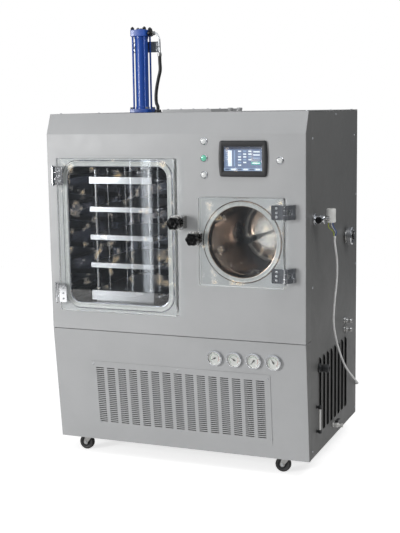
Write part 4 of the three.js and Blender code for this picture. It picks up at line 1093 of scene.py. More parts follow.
# ------------------------------------------------------------------ small repeated parts
def dome_screws(facing: Facing, places: Iterable[Point], head: float = 9.0, proud: float = 2.6) -> Shape:
    """Domed screw heads with a socket each.

    Args:
        facing: direction that they face.
        places: where they sit.
        head: diameter of the head.
        proud: height of the dome.

    Returns:
        All the heads.
    """
    r = head / 2
    profile = [(0, proud - 1.4), (r * 0.36, proud - 1.4), (r * 0.42, proud), (r * 0.8, proud * 0.8),
               (r, proud * 0.3), (r, -0.4), (0, -0.4)]
    return together(turned(profile, facing, place, 24) for place in places)


def washer_nut(facing: Facing, at: Point, across: float, thick: float) -> Shape:
    """A washer with a hexagonal nut and the end of its bolt.

    Args:
        facing: direction that the top faces.
        at: its place on the object.
        across: size over the flats.
        thick: thickness of the nut.

    Returns:
        The three solids.
    """
    washer = bar(across * 0.62, -0.3, across * 0.1, facing, at, 0.3)
    bolt = bar(across * 0.3, 0, thick + across * 0.2, facing, at, 0.5, 20)
    return washer + hexagon(across, across * 0.1, thick, facing, at) + bolt


# ------------------------------------------------------------------ surroundings
@dataclass
class Studio:
    """Pale floor, soft lamps and the camera.

    The room that metal mirrors has windows, which are bands (middle, half width, brightness)
    of the angle atan2(-x, -y), and lamps, which are the peaks of a fine noise.
    """

    focal: float = 96.4
    camera_at: Point = (1687.0, -3867.0, 1387.0)
    heading: float = 22.07
    tilt: float = 8.43
    roll: float = -0.86
    floor_half: float = 4.2
    lamps: tuple = (
        ("window_left", (-4.8, -6.0, 1.9), (0.0, -0.3, 0.7), (1.4, 2.8), 310.0),
        ("window_top", (0.6, -1.6, 5.2), (0.0, 0.0, 0.9), (3.0, 3.0), 26.0),
        ("window_right", (2.6, -0.8, 3.6), (0.5, 0.1, 1.2), (1.4, 1.4), 28.0),
    )
    windows: tuple[Point, ...] = (
        (0.29, 0.055, 1.3), (0.434, 0.006, 8.0), (0.449, 0.001, 6.0), (0.4235, 0.001, 5.0),
        (-0.483, 0.0008, 8.0), (-0.478, 0.0006, 5.0), (-0.4725, 0.0008, 8.0), (-0.4646, 0.0008, 6.0),
    )
    open_window: Point = (0.27, 0.035, 0.7)
    dim: float = 0.42
    lamp_glow: float = 8.0
    sky: float = 0.34

    def build(self) -> None:
        """Make the camera, the world, the lamps and the floor."""
        self._camera()
        self._world()
        for name, at, aim, (width, height), power in self.lamps:
            data = bpy.data.lights.new(name, "AREA")
            data.shape = "RECTANGLE"
            data.size = width
            data.size_y = height
            data.energy = power
            lamp = linked(name, data)
            lamp.location = at
            lamp.rotation_euler = (Vector(aim) - Vector(at)).to_track_quat("-Z", "Y").to_euler()
        self._floor()

    def _camera(self) -> None:
        """Place a long lens whose picture is 400 by 533."""
        data = bpy.data.cameras.new("front_camera")
        data.sensor_fit = "HORIZONTAL"
        data.sensor_width = 36.0
        data.lens = self.focal
        data.clip_end = 60.0
        camera = linked("front_camera", data)
        camera.location = CABINET.metres(np.array([self.camera_at]))[0]
        turn = (Euler((0, 0, math.radians(self.heading))).to_matrix()
                @ Euler((math.radians(90 - self.tilt), 0, 0)).to_matrix()
                @ Euler((0, 0, math.radians(self.roll))).to_matrix())
        camera.rotation_euler = turn.to_euler()
        bpy.context.scene.camera = camera

    def _world(self) -> None:
        """A sky that shows white behind the object, and a dim room in metal."""
        world = bpy.data.worlds.new("studio_sky")
        bpy.context.scene.world = world
        world.use_nodes = True
        world.node_tree.nodes.clear()
        w = Wiring(world.node_tree)
        seen, mirrored = self._paths(w)
        room, lamps = self._room(w)
        lit = w.add("Mix", {0: mirrored, 2: self.sky, 3: room}).outputs[0]
        strength = w.add("Mix", {0: seen, 2: lit, 3: 1.0}).outputs[0]
        tint = w.blend(mirrored, (1.0, 1.0, 1.0), w.blend(lamps, (0.88, 0.93, 1.0), (1.0, 0.74, 0.42)))
        shader = w.add("Background", {"Color": tint, "Strength": strength})
        w.add("OutputWorld", {"Surface": shader.outputs[0]})

    def _room(self, w: Wiring) -> tuple[Socket, Socket]:
        """Light the dim room that metal mirrors, most of it only behind glass.

        Args:
            w: the sky's node tree.

        Returns:
            The room's brightness, and where its lamps are.
        """
        ahead = w.add("TexCoord").outputs["Generated"]
        at = w.add("SeparateXYZ", {0: ahead}).outputs
        angle = w.maths("ARCTAN2", w.times(at["X"], -1.0), w.times(at["Y"], -1.0))
        lamps = w.rise(w.noise(ahead, 90.0, 2.0), 0.58, 0.72)
        total = w.maths("ADD", self.dim, w.times(lamps, self.lamp_glow))
        for window in self.windows:
            total = w.maths("ADD", total, self._band(w, angle, *window))
        through = w.rise(w.add("LightPath").outputs["Transmission Depth"], 1.0, 2.0)
        sky = w.maths("ADD", w.spread(at["Z"], 0.1, 0.75, 0.0, 0.6), self._band(w, angle, *self.open_window))
        return w.maths("ADD", sky, w.times(through, total)), w.times(lamps, through)

    def _band(self, w: Wiring, angle: Socket, middle: float, half: float, bright: float) -> Socket:
        """A window between two angles, full over its inner half and fading to its edges."""
        off = w.maths("ABSOLUTE", w.maths("SUBTRACT", angle, middle))
        return w.spread(off, bright, 0.0, 0.5 * half, half)

    def _paths(self, w: Wiring) -> tuple[Socket, Socket]:
        """Tell rays seen straight or through glass from those that come off metal.

        Args:
            w: the node tree.

        Returns:
            Two masks: straight from the camera, and off a mirror.
        """
        path = w.add("LightPath").outputs
        mirrored = w.times(w.maths("MINIMUM", path["Glossy Depth"], 1.0),
                           w.maths("SUBTRACT", 1.0, path["Is Diffuse Ray"]))
        seen = w.maths("MAXIMUM", path["Is Camera Ray"], path["Is Transmission Ray"])
        return w.times(seen, w.maths("SUBTRACT", 1.0, mirrored)), mirrored

    def _floor(self) -> None:
        """A wide, flat floor of white paper that keeps a soft shadow."""
        half = self.floor_half
        mesh = bpy.data.meshes.new("studio_floor")
        mesh.from_pydata([(x, y, 0.0) for y in (-half, half) for x in (-half, half)], [], [(0, 1, 3, 2)])
        made, w = wired("white_paper")
        tone = w.blend(w.noise(w.place(), 40.0, 4.0), (0.83, 0.83, 0.83), (0.87, 0.87, 0.87))
        seen, mirrored = self._paths(w)
        shader = w.add("BsdfPrincipled", {
            "Base Color": tone, "Roughness": 0.9, "Specular IOR Level": 0.1,
            "Emission Color": (1.0, 1.0, 1.0, 1.0),
            "Emission Strength": w.maths("MAXIMUM", w.times(seen, 0.72), w.times(mirrored, 0.2))})
        w.add("OutputMaterial", {"Surface": shader.outputs[0]})
        mesh.materials.append(made)
        linked("studio_floor", mesh)


# ------------------------------------------------------------------ cables and hoses
@dataclass
class FreeRun:
    """A cord that hangs free along a given route."""

    name: str
    node: str
    finish: Finish
    slot: str
    diameter: float
    stiffness: str
    rings: int
    route: tuple[Point, ...]

    def build(self) -> None:
        """Make the cord as a tube along its route and log its real length."""
        fine = smooth_route(self.route, self.rings)
        cord = add_piece(self.name, swept(fine, self.diameter / 2, 20), self.finish,
                         replaces=[self.node], slot=self.slot)
        path = CABINET.metres(fine)
        length = float(np.linalg.norm(np.diff(path, axis=0), axis=1).sum())
        self.diameter / 1000
        LOG.info("%s: %.3f m long", self.name, length)


FERRULE = (622.0, 156.0, 878.0)
CABLE = FreeRun("valve_cord", "valve_cable", SHEATH, "cable_sheath", 8.5, "medium", 110, (
    FERRULE, (622, 156, 862), (622, 168, 838), (619, 200, 790), (614, 224, 732), (609, 231, 680),
    (603, 234, 630), (598, 238, 580), (594, 248, 535), (591, 272, 490), (589, 312, 440), (586, 356, 398),
    (583, 412, 350), (579, 484, 298), (576, 568, 248), (572, 662, 200), (568, 740, 162), (562, 796, 138),
    (548, 836, 124), (526, 860, 118), (500, 862, 116), (478, 846, 115), (472, 828, 115), (472, 814.3, 115)))
PRESS_HOSE = FreeRun("press_oil_hose", "press_hose", HOSE, "hose_rubber", 14.0, "stiff", 48, (
    (-150, 255, 1600), (-150, 255, 1580), (-149, 255, 1544), (-157, 255, 1512), (-165, 255, 1478),
    (-170, 255, 1442), (-169, 255, 1410), (-163, 255, 1396), (-163, 255, 1382.3)))


# ------------------------------------------------------------------ casing
def shell_of(outer: Array, inner: Array) -> Shape:
    """Close two matching (rows, columns, 3) grids into one thin shell.

    Args:
        outer: grid of points on the outer face.
        inner: grid of points on the inner face.

    Returns:
        The closed sheet.
    """
    rows, columns = outer.shape[:2]
    count = rows * columns
    front = grid_faces(rows, columns)
    back = [[i + count for i in face[::-1]] for face in front]
    index = np.arange(count).reshape(rows, columns)
    rim = np.concatenate([index[0, :-1], index[:-1, -1], index[-1, :0:-1], index[:0:-1, 0]])
    ahead = np.roll(rim, -1)
    walls = np.column_stack([rim, rim + count, ahead + count, ahead]).tolist()
    return Shape(np.vstack([outer.reshape(-1, 3), inner.reshape(-1, 3)]), front + back + walls)


@dataclass
class FoldedFront:
    """A front sheet whose left and right edges are folded back round a small radius."""

    low: float
    high: float
    setback: Callable[[Array], Array]
    bend_levels: tuple[float, ...] = ()
    holes: list[Array] = field(default_factory=list)
    return_depth: float = 68.0
    sheet: float = 2.0
    bend: float = 3.5

    def shape(self) -> Shape:
        """Cut the flat pattern, then fold it.

        Returns:
            The shape.
        """
        arc = self.bend * math.pi / 2
        flat = HALF_WIDTH - self.bend
        reach = flat + arc + self.return_depth - self.bend
        outline = np.array([[-reach, self.low], [reach, self.low], [reach, self.high],
                            [-reach, self.high]])
        creases = [np.array([[side * (flat + arc * k / 4), self.low],
                             [side * (flat + arc * k / 4), self.high]])
                   for side in (-1, 1) for k in range(5)]
        creases += [np.array([[-reach, level], [reach, level]]) for level in self.bend_levels]
        return pierced(outline, self.holes, -self.sheet, 0.0, creases).changed(self._fold)

    def _fold(self, points: Array) -> Array:
        """Fold flat coordinates round both edges.

        With s the distance from the middle along the sheet, the part past the flat turns by
        the angle (s - flat) / bend up to a quarter turn and then runs straight back. The
        front's setback fades out towards the rear of the returns.

        Args:
            points: flat points.

        Returns:
            The folded points.
        """
        across, up, out = points.T
        s = np.abs(across)
        flat = HALF_WIDTH - self.bend
        angle = np.clip((s - flat) / self.bend, 0, np.pi / 2)
        back = np.maximum(s - flat - self.bend * np.pi / 2, 0)
        x = np.where(s < flat, s, flat + self.bend * np.sin(angle)) + np.sin(angle) * out
        y = self.bend * (1 - np.cos(angle)) + back - np.cos(angle) * out
        y = y + self.setback(up) * (1 - y / self.return_depth)
        return np.column_stack([np.sign(across) * x, y, up])


def refinish(piece: Object, finish: Finish, chosen: Callable[[Array, Array], Array]) -> None:
    """Give a second finish to some faces.

    Args:
        piece: the piece.
        finish: its second finish.
        chosen: says which faces take it, from their normals and centres, two (n, 3) arrays.
    """
    piece.data.materials.append(finish.material())
    read = []
    for name in ("normal", "center"):
        values = np.empty(len(piece.data.polygons) * 3)
        piece.data.polygons.foreach_get(name, values)
        read.append(values.reshape(-1, 3))
    piece.data.polygons.foreach_set("material_index", chosen(*read).astype(np.int32))


def side_shade_faces(normals: Array, _: Array) -> Array:
    """Faces that look left or right, which take the painted side shade."""
    return np.abs(normals[:, 0]) > 0.93


@dataclass
class Casing:
    """All sheet metal: two folded fronts, the grille, the sides, the rear and the roof."""

    seam_gap: float = 3.0
    slope_start: float = 1288.0
    slope_setback: float = 36.0
    side_front: float = 68.3
    side_top: float = 1367.7
    grille_x: float = 8.0
    grille_z: float = 203.0
    columns: int = 15
    column_pitch: float = 50.3
    slot_width: float = 36.5
    rows: int = 29
    field_height: float = 245.0
    open_share: float = 0.46
    margin: float = 24.0
    louvres: int = 8
    louvre_pitch: float = 58.0
    louvre_first: float = 190.0
    louvre_low: float = 80.0
    louvre_high: float = 392.0
    louvre_width: float = 22.0
    louvre_proud: float = 9.0

    def build(self) -> None:
        """Make every sheet."""
        self._upper_front()
        self._lower_front()
        self._grille()
        for side in (-1, 1):
            self._side(side)
        self._rear_and_roof()
        dress("chassis", FRAME_PAINT)

    def _upper_setback(self, up: Array) -> Array:
        """Lean the top of the upper front back from the slope's start."""
        return np.maximum(up - self.slope_start, 0) * self.slope_setback / (HEIGHT - self.slope_start)

    def _lower_setback(self, up: Array) -> Array:
        """Run the lower front back towards its foot."""
        return TOE_SETBACK * (1 - up / SEAM)

    def _upper_front(self) -> None:
        """Upper sheet with its cut-outs for the chamber, the trap and the controls."""
        holes = [rounded(493, 609, 68.5, (-232, 880)), circle(161.5, 96, (300, 872)),
                 rounded(166, 104, 4, (304, 1192), steps=3)]
        holes += [circle(11.6, 32, place) for place in Controls.button_places]
        low = SEAM + self.seam_gap / 2
        bends = (self.slope_start - 2, self.slope_start + 2)
        sheet = FoldedFront(low, HEIGHT, self._upper_setback, bends, holes).shape()
        lips = (block(-549, 549, 2.5, 66, low, low + 2, 0.5)
                + block(-549, 549, self.slope_setback + 3, 67, HEIGHT - 2, HEIGHT - 0.1, 0.5))
        piece = add_piece("upper_front_sheet", sheet + lips, PALE_PAINT, slot="pale_paint", bevel=0.5,
                          replaces=["front_upper_panel"])
        # The folded returns take the side coat: painted shade on the same pale paint.
        refinish(piece, SIDE_SHADE_PAINT, side_shade_faces)

    def _lower_front(self) -> None:
        """Lower sheet with its openings for the gauges and the grille."""
        high = SEAM - self.seam_gap / 2
        field_width = self.slot_width + (self.columns - 1) * self.column_pitch
        holes = [circle(28.5, 40, (x, 403)) for x in Controls.gauge_places]
        holes.append(rounded(field_width + 8, self.field_height + 8, 3, (self.grille_x, self.grille_z)))
        sheet = FoldedFront(0.0, high, self._lower_setback, (), holes).shape()
        lips = block(-549, 549, 4, 66, high - 2, high, 0.5) + block(-549, 549, 51, 66, 0, 2, 0.5)
        piece = add_piece("lower_front_sheet", sheet + lips, PALE_PAINT, slot="pale_paint", bevel=0.5,
                          replaces=["front_lower_panel"])
        # The folded returns take the side coat: painted shade on the same pale paint.
        refinish(piece, SIDE_SHADE_PAINT, side_shade_faces)

    def _grille(self) -> None:
        """Punched plate: columns of short slots with round ends, screwed on at its edges."""
        middle = (self.grille_z - SEAM) / math.cos(TOE_ANGLE)
        field_width = self.slot_width + (self.columns - 1) * self.column_pitch
        pitch = self.field_height / self.rows
        tall = pitch * self.open_share
        slot = rounded(self.slot_width, tall, tall / 2, steps=3)
        left = self.grille_x - field_width / 2 + self.slot_width / 2
        holes = [slot + np.array([left + c * self.column_pitch,
                                  middle - self.field_height / 2 + (r + 0.5) * pitch])
                 for c in range(self.columns) for r in range(self.rows)]
        outline = rounded(field_width + 2 * self.margin, self.field_height + 2 * self.margin, 5,
                          (self.grille_x, middle))
        sheet = pierced(outline, holes, 0.3, 1.8)
        tilted = sheet.changed(lambda p: leaning(np.column_stack([p[:, 0], -p[:, 2], p[:, 1]])))
        add_piece("air_grille", tilted,
                  PALE_PAINT, slot="pale_paint", replaces=["front_grille"])
        places = [(-373, 337), (-358, 81), (393, 332), (397, 205), (400, 82), (8, 337), (8, 76)]
        screws = dome_screws(FRONT, [(x, -1.6, (z - SEAM) / math.cos(TOE_ANGLE)) for x, z in places],
                             8.0, 2.2)
        add_piece("grille_screws", screws.changed(leaning), ZINC)

    def _louvre(self, y: float) -> Shape:
        """One pressed hood, open towards the front of the cabinet.

        Over its width s from the open edge to the root the height is proud (1 - s^1.7), and
        a quarter ellipse brings it down to the sheet at the top and the foot.

        Args:
            y: place along the depth.

        Returns:
            The louvre.
        """
        s = np.linspace(0, 1, 9)[:, None]
        z = np.concatenate([self.louvre_low + 14 * (1 - np.cos(np.linspace(0, np.pi / 2, 6))),
                            np.linspace(self.louvre_low + 40, self.louvre_high - 40, 3),
                            self.louvre_high - 14 * (1 - np.cos(np.linspace(np.pi / 2, 0, 6)))])[None]
        near = np.minimum(z - self.louvre_low, self.louvre_high - z)
        ends = np.sqrt(np.clip(1 - (1 - np.clip(near / 14, 0, 1)) ** 2, 0, 1))
        out = self.louvre_proud * (1 - s**1.7) * ends
        depth = y + self.louvre_width * s
        grid = np.stack(np.broadcast_arrays(depth, z, out), -1)
        outer = grid + np.array([0, 0, 0.05])
        inner = grid - np.array([0, 0, 1.3])
        inner[..., 2] = np.maximum(inner[..., 2], -0.4)
        return shell_of(outer, inner)

    def _side(self, side: int) -> None:
        """A side tray with its louvre bank, dark strips of painted shade under the hoods, and screws.

        Args:
            side: -1 for the left, 1 for the right.
        """
        name = "right" if side > 0 else "left"
        facing = RIGHT if side > 0 else LEFT
        at = (side * HALF_WIDTH, 0.0, 0.0)
        middle = (side * (self.side_front + DEPTH) / 2, self.side_top / 2)
        tray = plate(DEPTH - self.side_front, self.side_top, 3,
                     [(2, -2), (2, -12), (0, -12), (0, -2.2), (0.4, -0.9), (1.1, -0.2), (2.2, 0)],
                     facing, at, middle, ease=0.5)
        # The side sheet and its louvre hoods carry painted shade: the pale coat, darkened.
        add_piece(f"{name}_side_sheet", tray, SIDE_SHADE_PAINT, slot="dark_paint",
                  replaces=[f"{name}_side_panel"])
        mirror = np.array([side, 1, 1])
        rows = [self.louvre_first + i * self.louvre_pitch for i in range(self.louvres)]
        hoods = together(self._louvre(y) for y in rows)
        add_piece(f"{name}_louvre_hoods", hoods.changed(lambda p: facing.place(p * mirror, at)), SIDE_SHADE_PAINT)
        # Dark strips under the hoods are painted shade; the sheet behind them is not cut.
        shade_strips = together(plate(12, self.louvre_high - self.louvre_low - 8, 2,
                               [(0, -0.2), (0, 0.25), (0.2, 0.4)], facing, at,
                               (side * (y + 6.5), (self.louvre_low + self.louvre_high) / 2), 3) for y in rows)
        add_piece(f"{name}_louvre_slits", shade_strips, SHADE)
        spots = [(90, 1265), (740, 1260), (90, 690), (776, 690), (90, 30), (776, 30), (430, 1352),
                 (776, 1000)]
        screws = dome_screws(facing, [(side * HALF_WIDTH, y, z) for y, z in spots])
        add_piece(f"{name}_side_screws", screws, ZINC)

    def _rear_and_roof(self) -> None:
        """Rear and roof sheets with eased edges, and the screws that hold them."""
        # Rear and roof carry the side coat's painted shade; the roof's top faces stay pale.
        eased_copy("rear_sheet", "rear_panel", SIDE_SHADE_PAINT, 1.0, "dark_paint")
        roof = eased_copy("roof_sheet", "roof_panel", SIDE_SHADE_PAINT, 1.2, "dark_paint")
        top = CABINET.metres(np.array([(0.0, 0.0, HEIGHT + 1.0)]))[0, 2]
        refinish(roof, PALE_PAINT, lambda _, centres: centres[:, 2] > top)
        rear = [(x, z) for x in (-530, -180, 180, 530) for z in (24, 690, 1344)]
        top = [(x, y) for x in (-60, 112) for y in (126, 260, 394)]
        edge = [(x, y) for x in (-530, 530) for y in (90, 430, 780)]
        add_piece("sheet_screws", dome_screws(REAR, [(x, DEPTH, z) for x, z in rear])
                  + dome_screws(UP, [(x, y, HEIGHT + 12) for x, y in top], 8.0)
                  + dome_screws(UP, [(x, y, HEIGHT) for x, y in edge]), ZINC)
        gland = turned([(7.6, 0.2), (17, 0.2), (17, 3), (14, 4), (14, 9), (12.4, 12.2), (7.6, 12.2)],
                       UP, (-163, 255, HEIGHT), 32)
        rear_gland = turned([(4.8, 0.2), (14, 0.2), (14, 3), (12, 4), (12, 10), (10, 14.1), (4.8, 14.1)],
                            REAR, (472, DEPTH, 115), 32)
        add_piece("cord_glands", gland + rear_gland, DULL_BLACK)


# ------------------------------------------------------------------ drying chamber
def bored(piece: Object, cutter: Shape, crease: float = 32.0) -> None:
    """Cut a shape out of a piece and keep the result as the piece's own mesh.

    Args:
        piece: the object to cut.
        cutter: the shape taken away.
        crease: angle in degrees from which an edge stays sharp.
    """
    tool = linked("cutter", finished_mesh("cutter", cutter, crease))
    modifier = piece.modifiers.new("bore", "BOOLEAN")
    modifier.object = tool
    modifier.operation = "DIFFERENCE"
    modifier.solver = "EXACT"
    graph = bpy.context.evaluated_depsgraph_get()
    result = bpy.data.meshes.new_from_object(piece.evaluated_get(graph))
    piece.modifiers.remove(modifier)
    bpy.data.objects.remove(tool)
    piece.data = shaded(result, crease)


@dataclass
class DryingChamber:
    """Welded stainless box with its gasket, hanging shelves, guides and press plate."""

    x: float = -232.0
    z: float = 880.0
    opening: Point = (440.0, 556.0, 42.0)
    inside: Point = (480.0, 600.0, 30.0)
    depth: float = 560.0
    wall: float = 6.0
    shelf_width: float = 284.0
    shelf_front: float = 30.0
    shelf_depth: float = 450.0
    guide: float = 12.0
    guide_inset: float = 22.0
    base_top: float = 648.0
    tops: tuple[tuple[str, float], ...] = (("shelf_lower", 763.0), ("shelf_middle", 878.0),
                                           ("shelf_upper", 993.0))
    plate: Spot = (1088.0, 1115.0)
    hangers: tuple[Spot, ...] = ((-317.0, 90.0), (-266.0, 150.0), (-181.0, 200.0))

    def build(self) -> None:
        """Make the chamber from its walls inwards."""
        self._liner()
        self._gasket()
        self._base_shelf()
        for name, top in self.tops:
            self._sliding_plate(name, top - 20, top, name)
        self._sliding_plate("pressure_plate", *self.plate, "press_ram")
        self._ram()

    @property
    def shelf_y(self) -> float:
        """Middle of the shelves from front to rear."""
        return self.shelf_front + self.shelf_depth / 2

    def _guides(self) -> list[Spot]:
        """Plan positions of the four guide rods."""
        return corners(self.x, self.shelf_y, self.shelf_width / 2 - self.guide_inset,
                       self.shelf_depth / 2 - self.guide_inset)

    def _outline(self, size: Point, grow: float) -> Array:
        """A rounded rectangle round the chamber's axis, grown on every side."""
        return rounded(size[0] + 2 * grow, size[1] + 2 * grow, size[2] + grow, (self.x, self.z), steps=10)

    def _liner(self) -> None:
        """One skin: out round the body, over the flange's eased lip and in to the rear wall.

        The rear corners turn in on a radius, so each section there is drawn in by
        radius (1 - sin t) and set back by radius (1 - cos t).
        """
        rear, soft = 9 + self.depth, 40.0
        turn = np.linspace(0, np.pi / 2, 10)
        skin = [(self.inside, self.wall, -rear - self.wall), (self.inside, self.wall, -12.0)]
        skin += [(self.opening, grow, height) for grow, height in (
            (24.6, -11.0), (25.0, -10.0), (25.0, 0.2), (24.2, 1.0), (1.8, 1.0), (0.5, 0.5), (0.0, -0.8),
            (0.0, -8.2), (0.8, -9.0))]
        skin += [(self.inside, 0.0, -9.0), (self.inside, 0.0, -rear + soft)]
        skin += [(self.inside, -soft * (1 - math.cos(a)), -rear + soft * (1 - math.sin(a))) for a in turn[1:]]
        shell = stacked([(self._outline(size, grow), height) for size, grow, height in skin], FRONT)
        liner = add_piece("chamber_liner", shell, LINER, replaces=["drying_chamber"], slot="stainless",
                          crease=28.0)
        bored(liner, bar(42.0, -20, 60, RIGHT, (-20, 330, 872), edge=0.5, count=48))
        collar = turned([(42.2, 0), (50, 0), (49, 1.6), (43.6, 2.6), (42.2, 2.6)], LEFT,
                        (8, 330, 872), 56)
        add_piece("duct_collar", collar, FLANGE)
        column = turned([(16, 0), (55, 0), (55, 178), (48, 181), (48, 24), (16, 24)], UP,
                        (self.x, self.shelf_y, 1186.5), 48)
        saddles = block(-452, -12, 110, 134, 485.3, 576) + block(-452, -12, 420, 444, 485.3, 576)
        add_piece("chamber_column_and_saddles", column + saddles, FITTING)

    def _gasket(self) -> None:
        """Moulded seal with two sealing ribs on a flat base."""
        ribs = [(22, 1.3), (22, 4.4), (21, 5.2), (19, 5.7), (17, 5.2), (15.5, 4.2), (12.5, 4.0),
                (9.5, 4.2), (8, 5.2), (6, 5.7), (4, 5.2), (3, 4.4), (3, 1.3)]
        seal = stacked([(self._outline(self.opening, grow), height) for grow, height in ribs], FRONT,
                       ring=True)
        add_piece("chamber_seal", seal, SEAL, replaces=["chamber_gasket"], slot="white_rubber")

    def _slab(self, low: float, high: float, hole: float) -> Shape:
        """A shelf plate with four bored corners and a weld bead round its edge.

        Args:
            low: lower level.
            high: upper level.
            hole: radius of the holes for the guides.

        Returns:
            The shelf.
        """
        middle = (self.x, self.shelf_y)
        outline = rounded(self.shelf_width, self.shelf_depth, 4, middle, steps=5)
        holes = [circle(hole / 2, 24, place) for place in self._guides()]
        holes += [circle(hole / 2 - 3.2, 16, place) for place in self.hangers]
        level = (low + high) / 2
        bead = plate(self.shelf_width, self.shelf_depth, 4,
                     [(0.4, level - 1.6), (-0.5, level - 0.9), (-0.8, level), (-0.5, level + 0.9),
                      (0.4, level + 1.6)], UP, centre=middle)
        return pierced(outline, holes, low, high).facing(UP) + bead

    def _oil_pipes(self, level: float) -> Shape:
        """Unions on both edges and the pipes that carry oil round to the rear.

        Args:
            level: height on the object.

        Returns:
            The pipes.
        """
        parts = []
        for side, y, end, out in ((1, 70.0, 432.0, 25.0), (1, 110.0, 404.0, 15.0), (-1, 150.0, 410.0, 30.0)):
            edge = self.x + side * self.shelf_width / 2
            facing = RIGHT if side > 0 else LEFT
            parts.append(hexagon(17, -1, 11, facing, (edge, y, level)))
            route = [(8, y), (out - 5, y), (out, y + 8), (out, (y + end) / 2), (out, end - 8), (out - 5, end),
                     (-2, end)]
            parts.append(swept(smooth_route([(edge + side * o, r, level) for o, r in route], 48), 3.6, 12))
            parts.append(hexagon(15, -1, 8, facing, (edge, end, level)))
        return together(parts)

    def _sliding_plate(self, node: str, low: float, high: float, body: str) -> None:
        """A heated plate with its unions, pipes and guide bushes.

        Args:
            node: name of the CAD node that it stands for.
            low: lower level.
            high: upper level.
            body: the body that it rides.
        """
        add_piece(f"{node}_slab", self._slab(low, high, self.guide + 1.2), SHELF, body, replaces=[node],
                  slot="stainless", bevel=1.0)
        add_piece(f"{node}_oil_pipes", self._oil_pipes((low + high) / 2), CHROME, body)
        bush = [(6.7, -0.1), (11, -0.1), (11, 1.6), (10, 2.4), (6.7, 2.4)]
        below = together(turned(bush, DOWN, (x, y, low), 28) for x, y in self._guides())
        add_piece(f"{node}_bushes", below, FITTING, body)

    def _base_shelf(self) -> None:
        """The fixed lowest shelf on its bearers, with the four guide rods."""
        slab = self._slab(self.base_top - 40, self.base_top, self.guide - 0.4)
        bearers = together(block(-362, -102, y, y + 30, 580.3, 609, 1.5) for y in (50.0, 360.0))
        add_piece("base_shelf_slab", slab + bearers, SHELF, replaces=["base_shelf"], slot="stainless",
                  bevel=1.0)
        rods = together(bar(self.guide / 2, self.base_top - 30, 1145, UP, (x, y, 0), 1.2, 28)
                        for x, y in self._guides())
        thin = together(bar(2.5, self.base_top - 30, 1150, UP, (x, y, 0), 0.8, 16)
                        for x, y in self.hangers)
        add_piece("guide_rods", rods + thin, ROD)
        feet = together(hexagon(24, -0.2, 9, UP, (x, y, self.base_top)) for x, y in self._guides())
        add_piece("guide_nuts", feet, FITTING)
        add_piece("base_shelf_oil_pipes", self._oil_pipes(self.base_top - 20), CHROME)

    def _ram(self) -> None:
        """Chromed ram with its bolted foot."""
        foot = self.plate[1] + 0.3
        profile = [(0, foot), (44, foot), (45, foot + 1), (45, foot + 11), (44, foot + 12),
                   (20, foot + 12), (17, foot + 15), (14, foot + 19), (14, 1650.3), (20.4, 1650.3),
                   (20.4, 1666.3), (0, 1666.3)]
        at = (self.x, self.shelf_y, 0.0)
        add_piece("press_ram_rod", turned(profile, UP, at, 56), ROD, "press_ram",
                  replaces=["ram_rod"], slot="chrome_plate")
        spots = circle(33, 6, (self.x, self.shelf_y))
        bolts = together(hexagon(13, foot + 11.8, foot + 19, UP, (x, y, 0)) for x, y in spots)
        add_piece("press_ram_bolts", bolts, ZINC, "press_ram")


